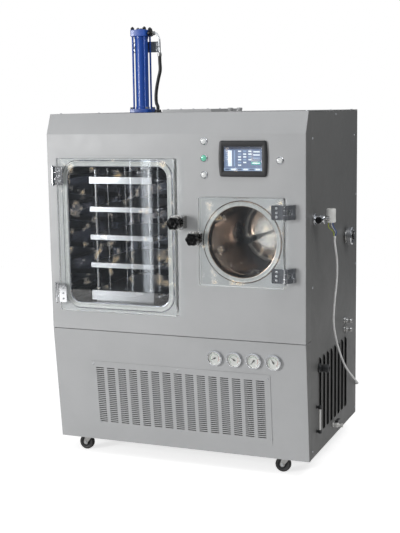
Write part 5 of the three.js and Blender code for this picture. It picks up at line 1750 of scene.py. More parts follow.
# ------------------------------------------------------------------ cold trap
@dataclass
class ColdTrap:
    """Round vessel with a dished rear head, its seal and the tube on its axis."""

    x: float = 300.0
    z: float = 872.0
    bore: float = 138.0
    flange: float = 160.0
    depth: float = 480.0
    wall: float = 4.0
    dish: float = 50.0

    def build(self) -> None:
        """Make the vessel, the seal and the centre tube."""
        self._drum()
        self._seal()
        self._centre_tube()

    def _head(self, radius: float, start: float, depth: float) -> list[Spot]:
        """Half of an elliptical head, from the axis out: height = -(start + depth cos t)."""
        turn = np.linspace(0, np.pi / 2, 14)
        return [(radius * math.sin(a), -(start + depth * math.cos(a))) for a in turn]

    def _drum(self) -> None:
        """Outer skin, flange with an eased lip, bore with two rolled beads, inner head."""
        start = self.depth - self.dish
        outer = self._head(self.bore + self.wall, start, self.dish + self.wall)
        inner = self._head(self.bore, start, self.dish)[::-1]
        bead = [(self.bore - 2.2 * math.sin(t), -at - 5 * t / math.pi)
                for at in (60.0, 408.0) for t in np.linspace(0, math.pi, 7)]
        profile = (outer + [(self.bore + self.wall, -11), (self.flange - 0.6, -11), (self.flange, -10.4),
                            (self.flange, 0.2), (self.flange - 0.8, 1), (self.bore + 2, 1),
                            (self.bore + 0.5, 0.4), (self.bore, -1.2)] + bead + inner)
        at = (self.x, 0.0, self.z)
        drum = add_piece("trap_vessel", turned(profile, FRONT, at, 112), DRUM,
                         replaces=["trap_drum"], slot="stainless", crease=30.0)
        bored(drum, bar(42.0, 0, 120, RIGHT, (120, 330, self.z), edge=0.5, count=48), 30.0)
        seam = CABINET.metres(np.array([(0.0, start - 10, 0.0)]))[0, 1]
        # The rear head takes a lighter copy of the drum's stainless: painted light.
        refinish(drum, LIT_HEAD, lambda _, centres: centres[:, 1] > seam)
        duct = turned([(42, 0), (46, 0), (46, 154), (42, 154)], RIGHT, (14.4, 330, self.z), 48)
        boss = bar(11, -1, 12, FRONT, (self.x, self.depth, self.z), 1.0)
        rear_weld = turned([(11, -2), (17, -2), (15, 2), (11, 6)], FRONT,
                           (self.x, self.depth, self.z), 32)
        add_piece("joining_duct", duct, FITTING, replaces=["vapour_duct"], slot="stainless")
        add_piece("trap_boss", boss + rear_weld, FLANGE)

    def _seal(self) -> None:
        """Round seal with two ribs."""
        profile = [(141, 1.3), (141, 4.4), (142.5, 5.2), (144.5, 5.7), (146.5, 5.2), (147.5, 4.3),
                   (150.5, 4.1), (153, 4.4), (154, 5.2), (155.5, 5.7), (156.6, 5.0), (157, 1.3)]
        add_piece("trap_seal", turned(profile, FRONT, (self.x, 0, self.z), 112), SEAL,
                  replaces=["trap_gasket"], slot="white_rubber")

    def _centre_tube(self) -> None:
        """Thin tube with a wider sleeve towards the front, and its black end cap."""
        at = (self.x, 0.0, self.z)
        tube = [(0, -467.7), (7, -467.7), (7, -211), (0, -211)]
        sleeve = [(0, -213), (8.5, -210), (10.2, -210), (11, -208.5), (11, -150), (11.6, -149),
                  (11.6, -141), (11, -140), (11, -70), (0, -70)]
        cap = [(0, -71.5), (13.5, -71), (13.5, -60), (12.8, -57.4), (11, -56), (5.5, -56), (5, -60), (0, -60)]
        add_piece("trap_centre_pipe", turned(tube, FRONT, at, 40), FITTING,
                  replaces=["trap_centre_tube"], slot="stainless")
        add_piece("trap_centre_sleeve", turned(sleeve, FRONT, at, 40), SLEEVE)
        add_piece("trap_centre_cap", turned(cap, FRONT, at, 40), BLACK)


# ------------------------------------------------------------------ doors
@dataclass
class WindowDoor:
    """A clear pane on two hinges with a latch: the chamber's or the trap's."""

    name: str
    x: float
    z: float
    width: float
    height: float
    hinge_side: int
    hinge_levels: Spot
    hinge_height: float
    hinge_reach: float
    hinge_block: float
    latch_z: float
    pane_back: float = 6.0
    pane_front: float = 36.0
    leaf: float = 4.0
    barrel: float = 16.0
    pin: float = 8.0
    gap: float = 1.5
    seat: float = 0.3
    ear: float = 58.0

    @property
    def body(self) -> str:
        """Body that the pane rides on."""
        return f"{self.name}_door"

    @property
    def hinge_x(self) -> float:
        """Hinge axis beside the pane's edge."""
        return self.x + self.hinge_side * (self.width / 2 + self.barrel / 2 + self.gap)

    @property
    def hinge_y(self) -> float:
        """Hinge axis in front of the sheet metal."""
        return -(self.pane_front + self.seat + self.leaf)

    @property
    def latch_x(self) -> float:
        """Axis of the latch stud, beyond the pane's free edge."""
        return self.x - self.hinge_side * (self.width / 2 + 9)

    def build(self) -> None:
        """Make the pane, both hinges and the latch."""
        self._pane()
        moving, pins, fixed, cups = [], [], [], []
        for level in self.hinge_levels:
            moving.append(self._moving_leaf(level))
            fixed.append(self._fixed_block(level))
            pins.append(self._pin(level))
            cups.append(self._screws(level))
        leaves = [f"{self.name}_hinge_leaf_upper", f"{self.name}_hinge_leaf_lower"]
        add_piece(f"{self.name}_hinge_leaves", together(moving), CHROME, self.body, replaces=leaves,
                  slot="chrome_plate", bevel=0.5)
        add_piece(f"{self.name}_hinge_screws", together(cups), ZINC, self.body)
        add_piece(f"{self.name}_hinge_blocks", together(fixed), CHROME, bevel=0.6)
        add_piece(f"{self.name}_hinge_pins", together(pins), DULL_BLACK)
        self._keeper()
        self._ear()
        self._knob()

    def _pane(self) -> None:
        """Cast slab with machined chamfers on both faces."""
        low, high = self.pane_back, self.pane_front
        slab = plate(self.width, self.height, 7,
                     [(2.2, low), (0.0, low + 2.2), (0.0, high - 3.2), (3.2, high)],
                     FRONT, centre=(self.x, self.z), steps=6, ease=1.0)
        pane = add_piece(f"{self.name}_window", slab, ACRYLIC, self.body, replaces=[f"{self.name}_door"],
                         slot="clear_acrylic", crease=20.0)
        refinish(pane, SAWN, lambda normals, _: np.abs(normals[:, 1]) < 0.8)

    def _moving_leaf(self, level: float) -> Shape:
        """Leaf on the pane, its tab and the middle knuckle, which is bored for the pin.

        Args:
            level: height on the object.

        Returns:
            The leaf that turns with the door.
        """
        side, third = self.hinge_side, self.hinge_height / 3
        root = self.hinge_x - side * (self.barrel / 2 + self.gap)
        tip = self.x + side * (self.width / 2 - self.hinge_reach)
        width, middle = abs(root - tip), (root + tip) / 2
        low, high = self.pane_front + self.seat, self.pane_front + self.seat + self.leaf
        outline = rounded(width, self.hinge_height, 4, (middle, level), 5)
        holes = [circle(3.4, 20, (middle - side * 2, level + k * self.hinge_height * 0.3))
                 for k in (-1, 0, 1)]
        wing = pierced(outline, holes, low, high).facing(FRONT)
        half = third / 2 - 0.6
        tab_low, tab_high = sorted((self.hinge_x - side * self.barrel * 0.42, root - side * 1))
        tab = block(tab_low, tab_high, -high, -low, level - half, level + half, 0.3)
        knuckle = turned([(4.7, -half), (7.4, -half), (8, 0.6 - half), (8, half - 0.6), (7.4, half),
                          (4.7, half)], UP, (self.hinge_x, self.hinge_y, level), 36)
        return wing + tab + knuckle

    def _screws(self, level: float) -> Shape:
        """Three cap screws through the leaf.

        Args:
            level: height on the object.

        Returns:
            The screw heads.
        """
        side = self.hinge_side
        root = self.hinge_x - side * (self.barrel / 2 + self.gap)
        tip = self.x + side * (self.width / 2 - self.hinge_reach)
        middle = (root + tip) / 2 - side * 2
        front = -(self.pane_front + self.seat + self.leaf)
        return dome_screws(FRONT, [(middle, front, level + k * self.hinge_height * 0.3) for k in (-1, 0, 1)],
                           9.5, 3.2)

    def _fixed_block(self, level: float) -> Shape:
        """Foot on the sheet and two arms that carry the outer knuckles.

        An arm's plan runs from the knuckle, at its full depth, down to the foot's height at
        its far end, along a quarter-sine curve.

        Args:
            level: height on the object.

        Returns:
            The block on the cabinet.
        """
        side, third = self.hinge_side, self.hinge_height / 3
        outside = self.hinge_x + side * (self.barrel / 2 + self.hinge_block)
        low, high = level - self.hinge_height / 2, level + self.hinge_height / 2
        s = np.linspace(0, 1, 12)
        top = self.hinge_y - 2.5 + (-12 - self.hinge_y + 2.5) * np.sin(s * np.pi / 2) ** 1.6
        across = self.hinge_x + (outside - self.hinge_x) * s
        plan = np.vstack([np.column_stack([across, top]), [[outside, -0.2], [self.hinge_x, -0.2]]])
        parts = []
        for start, end in ((low, low + third - 0.6), (high - third + 0.6, high)):
            parts.append(stacked([(plan, start), (plan, end)], UP))
            length = end - start
            parts.append(turned([(4.1, 0), (7.4, 0), (8, 0.6), (8, length - 0.6), (7.4, length),
                                 (4.1, length)],
                                UP, (self.hinge_x, self.hinge_y, start), 36))
        x0, x1 = sorted((self.hinge_x - side * 2, outside))
        parts.append(block(x0, x1, -7, -0.2, low, high, 0.8))
        return together(parts)

    def _pin(self, level: float) -> Shape:
        """Pin with rounded ends that stand proud of the knuckles.

        Args:
            level: height on the object.

        Returns:
            The pin.
        """
        half = self.hinge_height / 2
        profile = [(0, -half - 3.5), (2.6, -half - 3.2), (3.9, -half - 1.2), (3.9, half + 1.2),
                   (2.6, half + 3.2), (0, half + 3.5)]
        return turned(profile, UP, (self.hinge_x, self.hinge_y, level), 24)

    def _keeper(self) -> None:
        """Keeper block with the socket that takes the latch stud, bolted to the sheet."""
        side = self.hinge_side
        near = self.x - side * (self.width / 2 + self.gap)
        far = self.latch_x - side * (self.ear / 2 - 2)
        half = self.ear / 2 - 4
        outline = rounded(abs(far - near), 2 * half, 3, ((near + far) / 2, self.latch_z), 5)
        socket = circle(8, 40, (self.latch_x, self.latch_z))
        body = pierced(outline, [socket], -0.5, self.pane_front - 1).facing(FRONT)
        add_piece(f"{self.name}_latch_keeper", body, FITTING, bevel=0.8)

    def _ear(self) -> None:
        """Square plate on the pane's corner with four screws round the knob's stem."""
        low = self.pane_front + self.seat
        outline = rounded(self.ear, self.ear, 8, (self.latch_x, self.latch_z), 6)
        hole = circle(5.6, 32, (self.latch_x, self.latch_z))
        seat = pierced(outline, [hole], low, low + 3).facing(FRONT)
        add_piece(f"{self.name}_latch_plate", seat, FLANGE, self.body, bevel=0.5,
                  replaces=[f"{self.name}_latch_ear"], slot="stainless")
        spots = corners(self.latch_x, self.latch_z, 21, 21)
        screws = dome_screws(FRONT, [(x, -low - 3, z) for x, z in spots], 7.5, 2.2)
        add_piece(f"{self.name}_latch_screws", screws, ZINC, self.body)

    def _knob(self) -> None:
        """Six-lobed star knob on a waisted stem, with a steel insert and its stud.

        The outline's radius at angle t is R (1 - d (1 - cos 6t)), and the crown and the foot
        are drawn in along quarter circles.
        """
        seat = self.pane_front + self.seat + 3 + self.seat
        crown = seat + 24
        def star(inset: float) -> Array:
            """Lobed outline, drawn in by inset."""
            angle = around(96)
            return polar(angle, 26 * (1 - 0.07 * (1 - np.cos(6 * angle))) - inset)
        at = (self.latch_x, 0.0, self.latch_z)
        turn = np.linspace(0, np.pi / 2, 7)
        crown_round = [(6 * (1 - math.cos(a)), crown + 16 + 6 * math.sin(a)) for a in turn]
        layers = ([(9.0, crown + 0.4), (3.0, crown), (0.8, crown + 0.9), (0.0, crown + 3)] + crown_round
                  + [(11.0, crown + 22.0), (14.0, crown + 21.2)])
        grip = layered(star, layers, FRONT, at)
        stem = turned([(5.6, seat), (11, seat), (11, seat + 1.6), (9, seat + 7), (9.4, seat + 16),
                       (13, crown + 1), (13, crown + 4), (5.6, crown + 4)], FRONT, at, 48)
        add_piece(f"{self.name}_star_knob", grip + stem, BLACK, f"{self.name}_knob",
                  replaces=[f"{self.name}_latch_knob"], slot="black_plastic", crease=38.0)
        insert = turned([(0, crown + 20), (10.8, crown + 20), (10.8, crown + 22.6), (9.6, crown + 23.6),
                         (6.2, crown + 24), (5.4, crown + 25.6), (0, crown + 26)], FRONT, at, 40)
        stud = bar(5, self.pane_front - 25, seat + 1, FRONT, at, 1.2)
        add_piece(f"{self.name}_knob_insert", insert, BLACK, f"{self.name}_knob")
        add_piece(f"{self.name}_latch_stud", stud, ZINC, f"{self.name}_knob")


# ------------------------------------------------------------------ controls
@dataclass
class Controls:
    """Touch screen, four push buttons and four pressure gauges."""

    button_places = ((143.0, 1259.0), (143.0, 1194.0), (143.0, 1129.0), (451.0, 1186.0))
    gauge_places = (175.0, 256.5, 338.0, 419.5)
    screen_x: float = 304.0
    screen_z: float = 1192.0
    screen_size: Spot = (198.0, 138.0)
    display: Spot = (154.0, 92.0)
    bow: float = 5.0
    gauge_z: float = 403.0
    readings: tuple[float, ...] = (206, 148, 232, 120)

    def build(self) -> None:
        """Make every control."""
        self._screen()
        self._buttons()
        self._gauges()

    def _bezel(self, inset: float) -> Array:
        """Bezel outline with rounded corners: its left and right edges bow out as
        bow (1 - (2 z / h)^2).

        Args:
            inset: how far it is drawn in.

        Returns:
            The outline.
        """
        width, height = self.screen_size
        flat = rounded(width - 2 * self.bow - 2 * inset, height - 2 * inset, 8 - inset * 0.6, steps=12)
        side = np.linspace(-1, 1, 15)[1:-1] * (height / 2 - 8)
        right = np.column_stack([np.full(13, width / 2 - self.bow - inset), side])
        left = np.column_stack([np.full(13, -width / 2 + self.bow + inset), side[::-1]])
        loop = np.vstack([right[7:], flat[:24], left, flat[24:], right[:7]])
        bulge = self.bow * (1 - (2 * loop[:, 1] / height) ** 2)
        share = loop[:, 0] / (width / 2 - self.bow)
        loop[:, 0] += bulge * share
        return loop

    def _screen(self) -> None:
        """Moulded bezel that slopes into the display, and the lit page behind the glass."""
        at = (self.screen_x, 0.0, self.screen_z)
        width, height = self.display
        def window(grow: float) -> Array:
            """Display opening with as many points as the bezel's outline.

            Args:
                grow: how far it is widened.

            Returns:
                The outline.
            """
            loop = self._bezel(0)
            size = np.abs(loop).max(axis=0)
            angle = np.arctan2(loop[:, 1] / size[1], loop[:, 0] / size[0])
            reach = 1 / np.maximum(np.abs(np.cos(angle)), np.abs(np.sin(angle)))
            return polar(angle, reach) * np.array([width / 2 + grow, height / 2 + grow])
        layers = [(self._bezel(0.6), 0.3), (self._bezel(0), 1.2), (self._bezel(0), 5.4),
                  (self._bezel(0.7), 7.0), (self._bezel(2.4), 7.9), (self._bezel(8), 8.0), (window(5), 8.0),
                  (window(1.2), 6.9), (window(0.3), 6.6), (window(0.0), 5.9), (window(0.0), 0.3)]
        housing = block(self.screen_x - 81, self.screen_x + 81, 2.5, 38, self.screen_z - 50,
                        self.screen_z + 50, 3.0)
        add_piece("touch_screen_bezel", stacked(layers, FRONT, at, ring=True) + housing, DULL_BLACK,
                  slot="black_plastic",
                  replaces=["touch_screen"])
        self._page(at, width, height)
        glass = plate(width + 0.4, height + 0.4, 0.6, [(0, 5.9), (0, 6.2), (0.2, 6.4)], FRONT, at, steps=3)
        add_piece("touch_screen_glass", glass, LENS)

    def _page(self, at: Point, width: float, height: float) -> None:
        """A plain process page: a bar of keys, a vessel chart and rows of values.

        Args:
            at: its place on the object.
            width: its width.
            height: its height.
        """
        dark, pale, white = srgb(44, 52, 70), srgb(138, 160, 190), srgb(226, 236, 244)
        teal, slate = srgb(40, 164, 150), srgb(84, 98, 126)
        cells = [(0.5, 0.5, 1.0, 1.0, slate, 0.0), (0.5, 0.955, 1.0, 0.09, dark, 0.1),
                 (0.5, 0.06, 1.0, 0.12, pale, 0.1), (0.5, 0.5, 0.97, 0.74, srgb(104, 120, 150), 0.1),
                 (0.16, 0.52, 0.11, 0.66, white, 0.2), (0.28, 0.52, 0.035, 0.66, pale, 0.2)]
        cells += [(0.075, 0.80 - 0.08 * i, 0.05, 0.035, pale, 0.2) for i in range(8)]
        for column, start in enumerate((0.385, 0.52, 0.655)):
            cells += [(start + 0.03, 0.81 - 0.115 * row, 0.085, 0.06,
                       (white, pale, white)[(row + column) % 3],
                       0.2) for row in range(6 - column)]
        cells += [(0.86, 0.79 - 0.13 * row, 0.17, 0.055, white if row < 2 else pale, 0.2) for row in range(3)]
        cells += [(0.84, 0.32, 0.24, 0.12, teal, 0.2), (0.84, 0.32, 0.20, 0.05, white, 0.3)]
        cells += [(0.09 + 0.16 * i, 0.06, 0.12, 0.07, white if i % 2 else slate, 0.2) for i in range(6)]
        flat, faces, tints = [], [], []
        for cx, cz, w, h, tint, lift in cells:
            corners = rounded(w * width, h * height, 1.2 if lift > 0.15 else 0.1,
                              ((cx - 0.5) * width, (cz - 0.5) * height), steps=3)
            faces.append(list(range(len(flat), len(flat) + len(corners))))
            flat += [(u, v, 5.0 + lift) for u, v in corners]
            tints.append(tint)
        backing = plate(width, height, 0.5, [(0, 2.0), (0, 4.8)], FRONT, at, steps=3)
        shape = Shape(FRONT.place(np.array(flat), at), faces) + backing
        tints += [dark] * len(backing.faces)
        self._printed("touch_screen_page", shape, tints, SCREEN)

    def _printed(self, name: str, shape: Shape, tints: Sequence[tuple], finish: Finish) -> None:
        """Add a piece whose faces each carry a colour.

        Args:
            name: piece name.
            shape: points and faces, kept as they are.
            tints: one linear colour for each face.
            finish: finish that reads the tint.
        """
        mesh = bpy.data.meshes.new(name)
        mesh.from_pydata(CABINET.metres(shape.points).tolist(), [], shape.faces)
        layer = mesh.color_attributes.new("tint", "FLOAT_COLOR", "CORNER")
        sizes = [len(face) for face in shape.faces]
        colours = np.repeat(np.column_stack([np.array(tints), np.ones(len(tints))]), sizes, axis=0)
        layer.data.foreach_set("color", colours.ravel())
        declare(name, mesh, finish)

    def _buttons(self) -> None:
        """Plated bezels with knurled flanks, and domed lit caps."""
        names = ("button_white_upper", "button_green", "button_white_lower", "button_white_side")
        collars = []
        for name, (x, z) in zip(names, self.button_places):
            at = (x, 0.0, z)
            collars.append(turned([(11.4, -4), (11.4, 3.2), (11.9, 3.6), (13.4, 3.5), (14.3, 2.6),
                                   (14.5, 0.3), (13.2, 0.1), (13.2, -4)], FRONT, at, 56))
            cap = turned([(0, -15.8), (10.9, -15.8), (10.9, 5.4), (10.5, 6.3), (9.5, 7.2), (7.4, 8.2),
                          (4, 8.8), (0, 9.0)], FRONT, at, 48)
            green = name == "button_green"
            add_piece(f"{name}_cap", cap, GREEN if green else PEARL, name, replaces=[name],
                      slot="green_lens" if green else "white_plastic", crease=50.0)
        add_piece("button_bezels", together(collars), CHROME, slot="chrome_plate")

    def _gauges(self) -> None:
        """Four gauges: plated case, printed dial, needle and a flat glass."""
        level = (self.gauge_z - SEAM) / math.cos(TOE_ANGLE)
        cases, glasses, needles = [], [], []
        for i, x in enumerate(self.gauge_places):
            at = (x, 0.0, level)
            case = [(0, -29.7), (26.5, -29.7), (27, -29), (27, 0.3), (31, 0.3), (31.5, 1.0), (31.5, 8.6),
                    (30.9, 10.6), (29.2, 11.9), (27.9, 11.7), (27.2, 10.6), (27.0, 5.4), (0, 5.4)]
            cases.append((f"gauge_{i + 1}", turned(case, FRONT, at, 72)))
            glasses.append(turned([(0, 9.6), (26.9, 9.6), (26.9, 10.5), (0, 10.7)], FRONT, at, 48))
            needles.append(self._needle(at, math.radians(self.readings[i])))
        for node, case in cases:
            add_piece(f"{node}_case", case.changed(leaning), CHROME, replaces=[node], slot="chrome_plate")
        add_piece("gauge_glasses", together(glasses).changed(leaning), LENS)
        add_piece("gauge_needles", together(needles).changed(leaning), DULL_BLACK)
        self._dials(level)

    def _needle(self, at: Point, turn: float) -> Shape:
        """Tapered pointer with a round hub.

        Args:
            at: its place on the object.
            turn: angle in radians.

        Returns:
            The needle.
        """
        along = np.array([math.cos(turn), math.sin(turn)])
        across = np.array([-along[1], along[0]])
        plan = np.array([along * 20, along * 2 + across * 1.5, -along * 7 + across * 1.9,
                         -along * 7 - across * 1.9, along * 2 - across * 1.5])
        return stacked([(plan, 7.6), (plan, 8.1)], FRONT, at) + bar(3.4, 6.0, 8.8, FRONT, at, 0.5, 20)

    def _dials(self, level: float) -> None:
        """Pale dials with a ring of ticks, a coloured arc and a small inner scale.

        Args:
            level: height on the object.
        """
        paper, ink = srgb(226, 226, 222), srgb(92, 92, 94)
        red, green = srgb(186, 58, 46), srgb(60, 134, 84)
        parts, tints = [], []
        def add(flat: Array, height: float, at: Point, tint: tuple) -> None:
            """Add one flat printed face.

            Args:
                flat: outline in the plane.
                height: level above the dial.
                at: its place on the object.
                tint: colour of its faces.
            """
            local = np.column_stack([flat, np.full(len(flat), height)])
            parts.append(Shape(FRONT.place(local, at), [list(range(len(flat)))]))
            tints.append(tint)
        for x in self.gauge_places:
            at = (x, 0.0, level)
            add(circle(26.8, 48), 5.8, at, paper)
            for k in range(41):
                angle = math.radians(225 - 270 * k / 40)
                long = k % 5 == 0
                reach, thick = (19.2, 0.5) if long else (21.6, 0.28)
                along = np.array([math.cos(angle), math.sin(angle)])
                across = np.array([-along[1], along[0]]) * thick
                add(np.array([along * reach - across, along * 24 - across, along * 24 + across,
                              along * reach + across]), 5.9, at, ink)
            for start, end, tint in ((225, 30, green), (30, -45, red)):
                angle = np.radians(np.linspace(start, end, 24))
                ring = polar(angle, 1.0)
                add(np.vstack([ring * 18.4, ring[::-1] * 17.2]), 5.9, at, tint)
        self._printed("gauge_dials", together(parts).changed(leaning), tints, DIAL)


# ------------------------------------------------------------------ press cylinder on the roof
@dataclass
class PressCylinder:
    """Tie-rod oil cylinder with its clamp bracket and the bent steel tube to the hose."""

    x: float = -232.0
    y: float = 255.0
    base: float = 1370.3
    base_top: float = 1386.3
    barrel_top: float = 1682.3
    head_top: float = 1709.3
    half_spacing: float = 27.0

    def build(self) -> None:
        """Make the barrel with its rods, the head and the oil port."""
        self._barrel()
        self._head()
        self._bracket()
        self._port()

    def _corners(self) -> list[Spot]:
        """Plan positions of the tie rods."""
        return corners(self.x, self.y, self.half_spacing, self.half_spacing)

    def _square(self, size: float, low: float, high: float, radius: float, edge: float) -> Shape:
        """A square plate round the cylinder's axis with eased edges."""
        layers = [(edge, low), (0, low + edge), (0, high - edge), (edge, high)]
        return plate(size, size, radius, layers, UP, centre=(self.x, self.y))

    def _barrel(self) -> None:
        """Enamelled tube between two collars, standing on its foot, with four tie rods."""
        at = (self.x, self.y, 0.0)
        low, high = self.base_top, self.barrel_top
        tube = [(21, low), (29, low), (29, low + 7), (27.6, low + 9), (27, low + 11), (27, high - 12),
                (27.6, high - 10), (29, high - 8), (29, high - 0.3), (21, high - 0.3)]
        barrel = turned(tube, UP, at, 72) + self._square(84, self.base, self.base_top, 6, 1.5)
        add_piece("cylinder_tube", barrel, BLUE_PAINT, replaces=["cylinder_barrel"], slot="blue_paint")
        rods = together(bar(4, low - 1, high - 0.3, UP, (x, y, 0), 0.4, 20) for x, y in self._corners())
        add_piece("cylinder_tie_rods", rods, BLUE_PAINT)
        bolts = together(hexagon(14, low - 0.2, low + 7, UP, (x, y, 0))
                         for x, y in corners(self.x, self.y, 34, 34))
        add_piece("cylinder_foot_bolts", bolts, ZINC)

    def _head(self) -> None:
        """Blue head block with its tie-rod nuts and a bleed plug."""
        low, high = self.barrel_top, self.head_top
        block_shape = self._square(70, low, high, 5, 1.6)
        cover = turned([(0, high - 1), (21, high - 1), (21, high + 2), (19.5, high + 3.5), (0, high + 3.5)],
                       UP, (self.x, self.y, 0), 48)
        add_piece("cylinder_head_block", block_shape + cover, BLUE_PAINT, replaces=["cylinder_head"],
                  slot="blue_paint")
        nuts = together(
            hexagon(15, high - 0.3, high + 8.5, UP, (x, y, 0))
            + bar(4, high, high + 12, UP, (x, y, 0), 0.8, 20) for x, y in self._corners())
        add_piece("cylinder_nuts", nuts, UNIT_PAINT)
        plug = hexagon(11, high + 3, high + 7, UP, (self.x, self.y, 0))
        add_piece("cylinder_bleed_plug", plug, ZINC)

    def _bracket(self) -> None:
        """Flat steel strap behind the rods, held by two U-bolts."""
        high = self.barrel_top - 20
        x0, x1 = self.x - 51, self.x + 73
        outline = rounded(x1 - x0, 44, 3, ((x0 + x1) / 2, high - 22), 5)
        spots = [(x0 + 9, high - 11), (x0 + 9, high - 33), (x1 - 12, high - 11), (x1 - 12, high - 33)]
        bracket = pierced(outline, [circle(4.2, 20, spot) for spot in spots], -287, -283)
        add_piece("cylinder_bracket", bracket.facing(FRONT), TANK_PAINT, bevel=0.5)
        bolts = together(washer_nut(FRONT, (x, 283, z), 11, 6) for x, z in spots)
        add_piece("cylinder_bracket_bolts", bolts, ZINC)

    def _port(self) -> None:
        """Manifold block, union nut and the bent tube down to the hose's crimped end."""
        level = self.barrel_top + 27 * 0.45
        start = self.x + 35.3
        at = (start, self.y, level)
        top = 1600.0
        banjo = block(start, start + 14, self.y - 13, self.y + 13, level - 11, level + 11, 1.2)
        add_piece("cylinder_port_block", banjo, DULL_BLACK)
        route = [(start + 18, self.y, level), (start + 26, self.y, level), (start + 34, self.y, level - 2),
                 (-156, self.y, level - 12), (-150.6, self.y, level - 24), (-150, self.y, level - 38),
                 (-150, self.y, top + 14)]
        bend = swept(smooth_route(route, 60), 4, 20)
        add_piece("cylinder_bent_tube", bend, ZINC)
        nuts = (hexagon(17, 13, 26, RIGHT, at)
                + turned([(4.1, 0.3), (8, 0.3), (8.5, 1), (8.5, 3), (7.6, 3.6), (8.5, 4.4), (8.5, 7),
                          (7.6, 7.6), (8.5, 8.4), (8.5, 11), (6.8, 12.5), (6.2, 17), (4.1, 17.8)],
                         UP, (-150, self.y, top), 40))
        add_piece("cylinder_hose_ends", nuts, FITTING)
        needle = bar(5, 11, 24, FRONT, (start + 7, self.y, level), 1.0)
        knob = turned([(0, 20), (7, 20), (7.6, 22), (7.6, 28), (6.4, 30), (0, 30)], UP,
                      (start + 7, self.y, level - 11), 32)
        add_piece("cylinder_port_screw", needle + knob, DULL_BLACK)


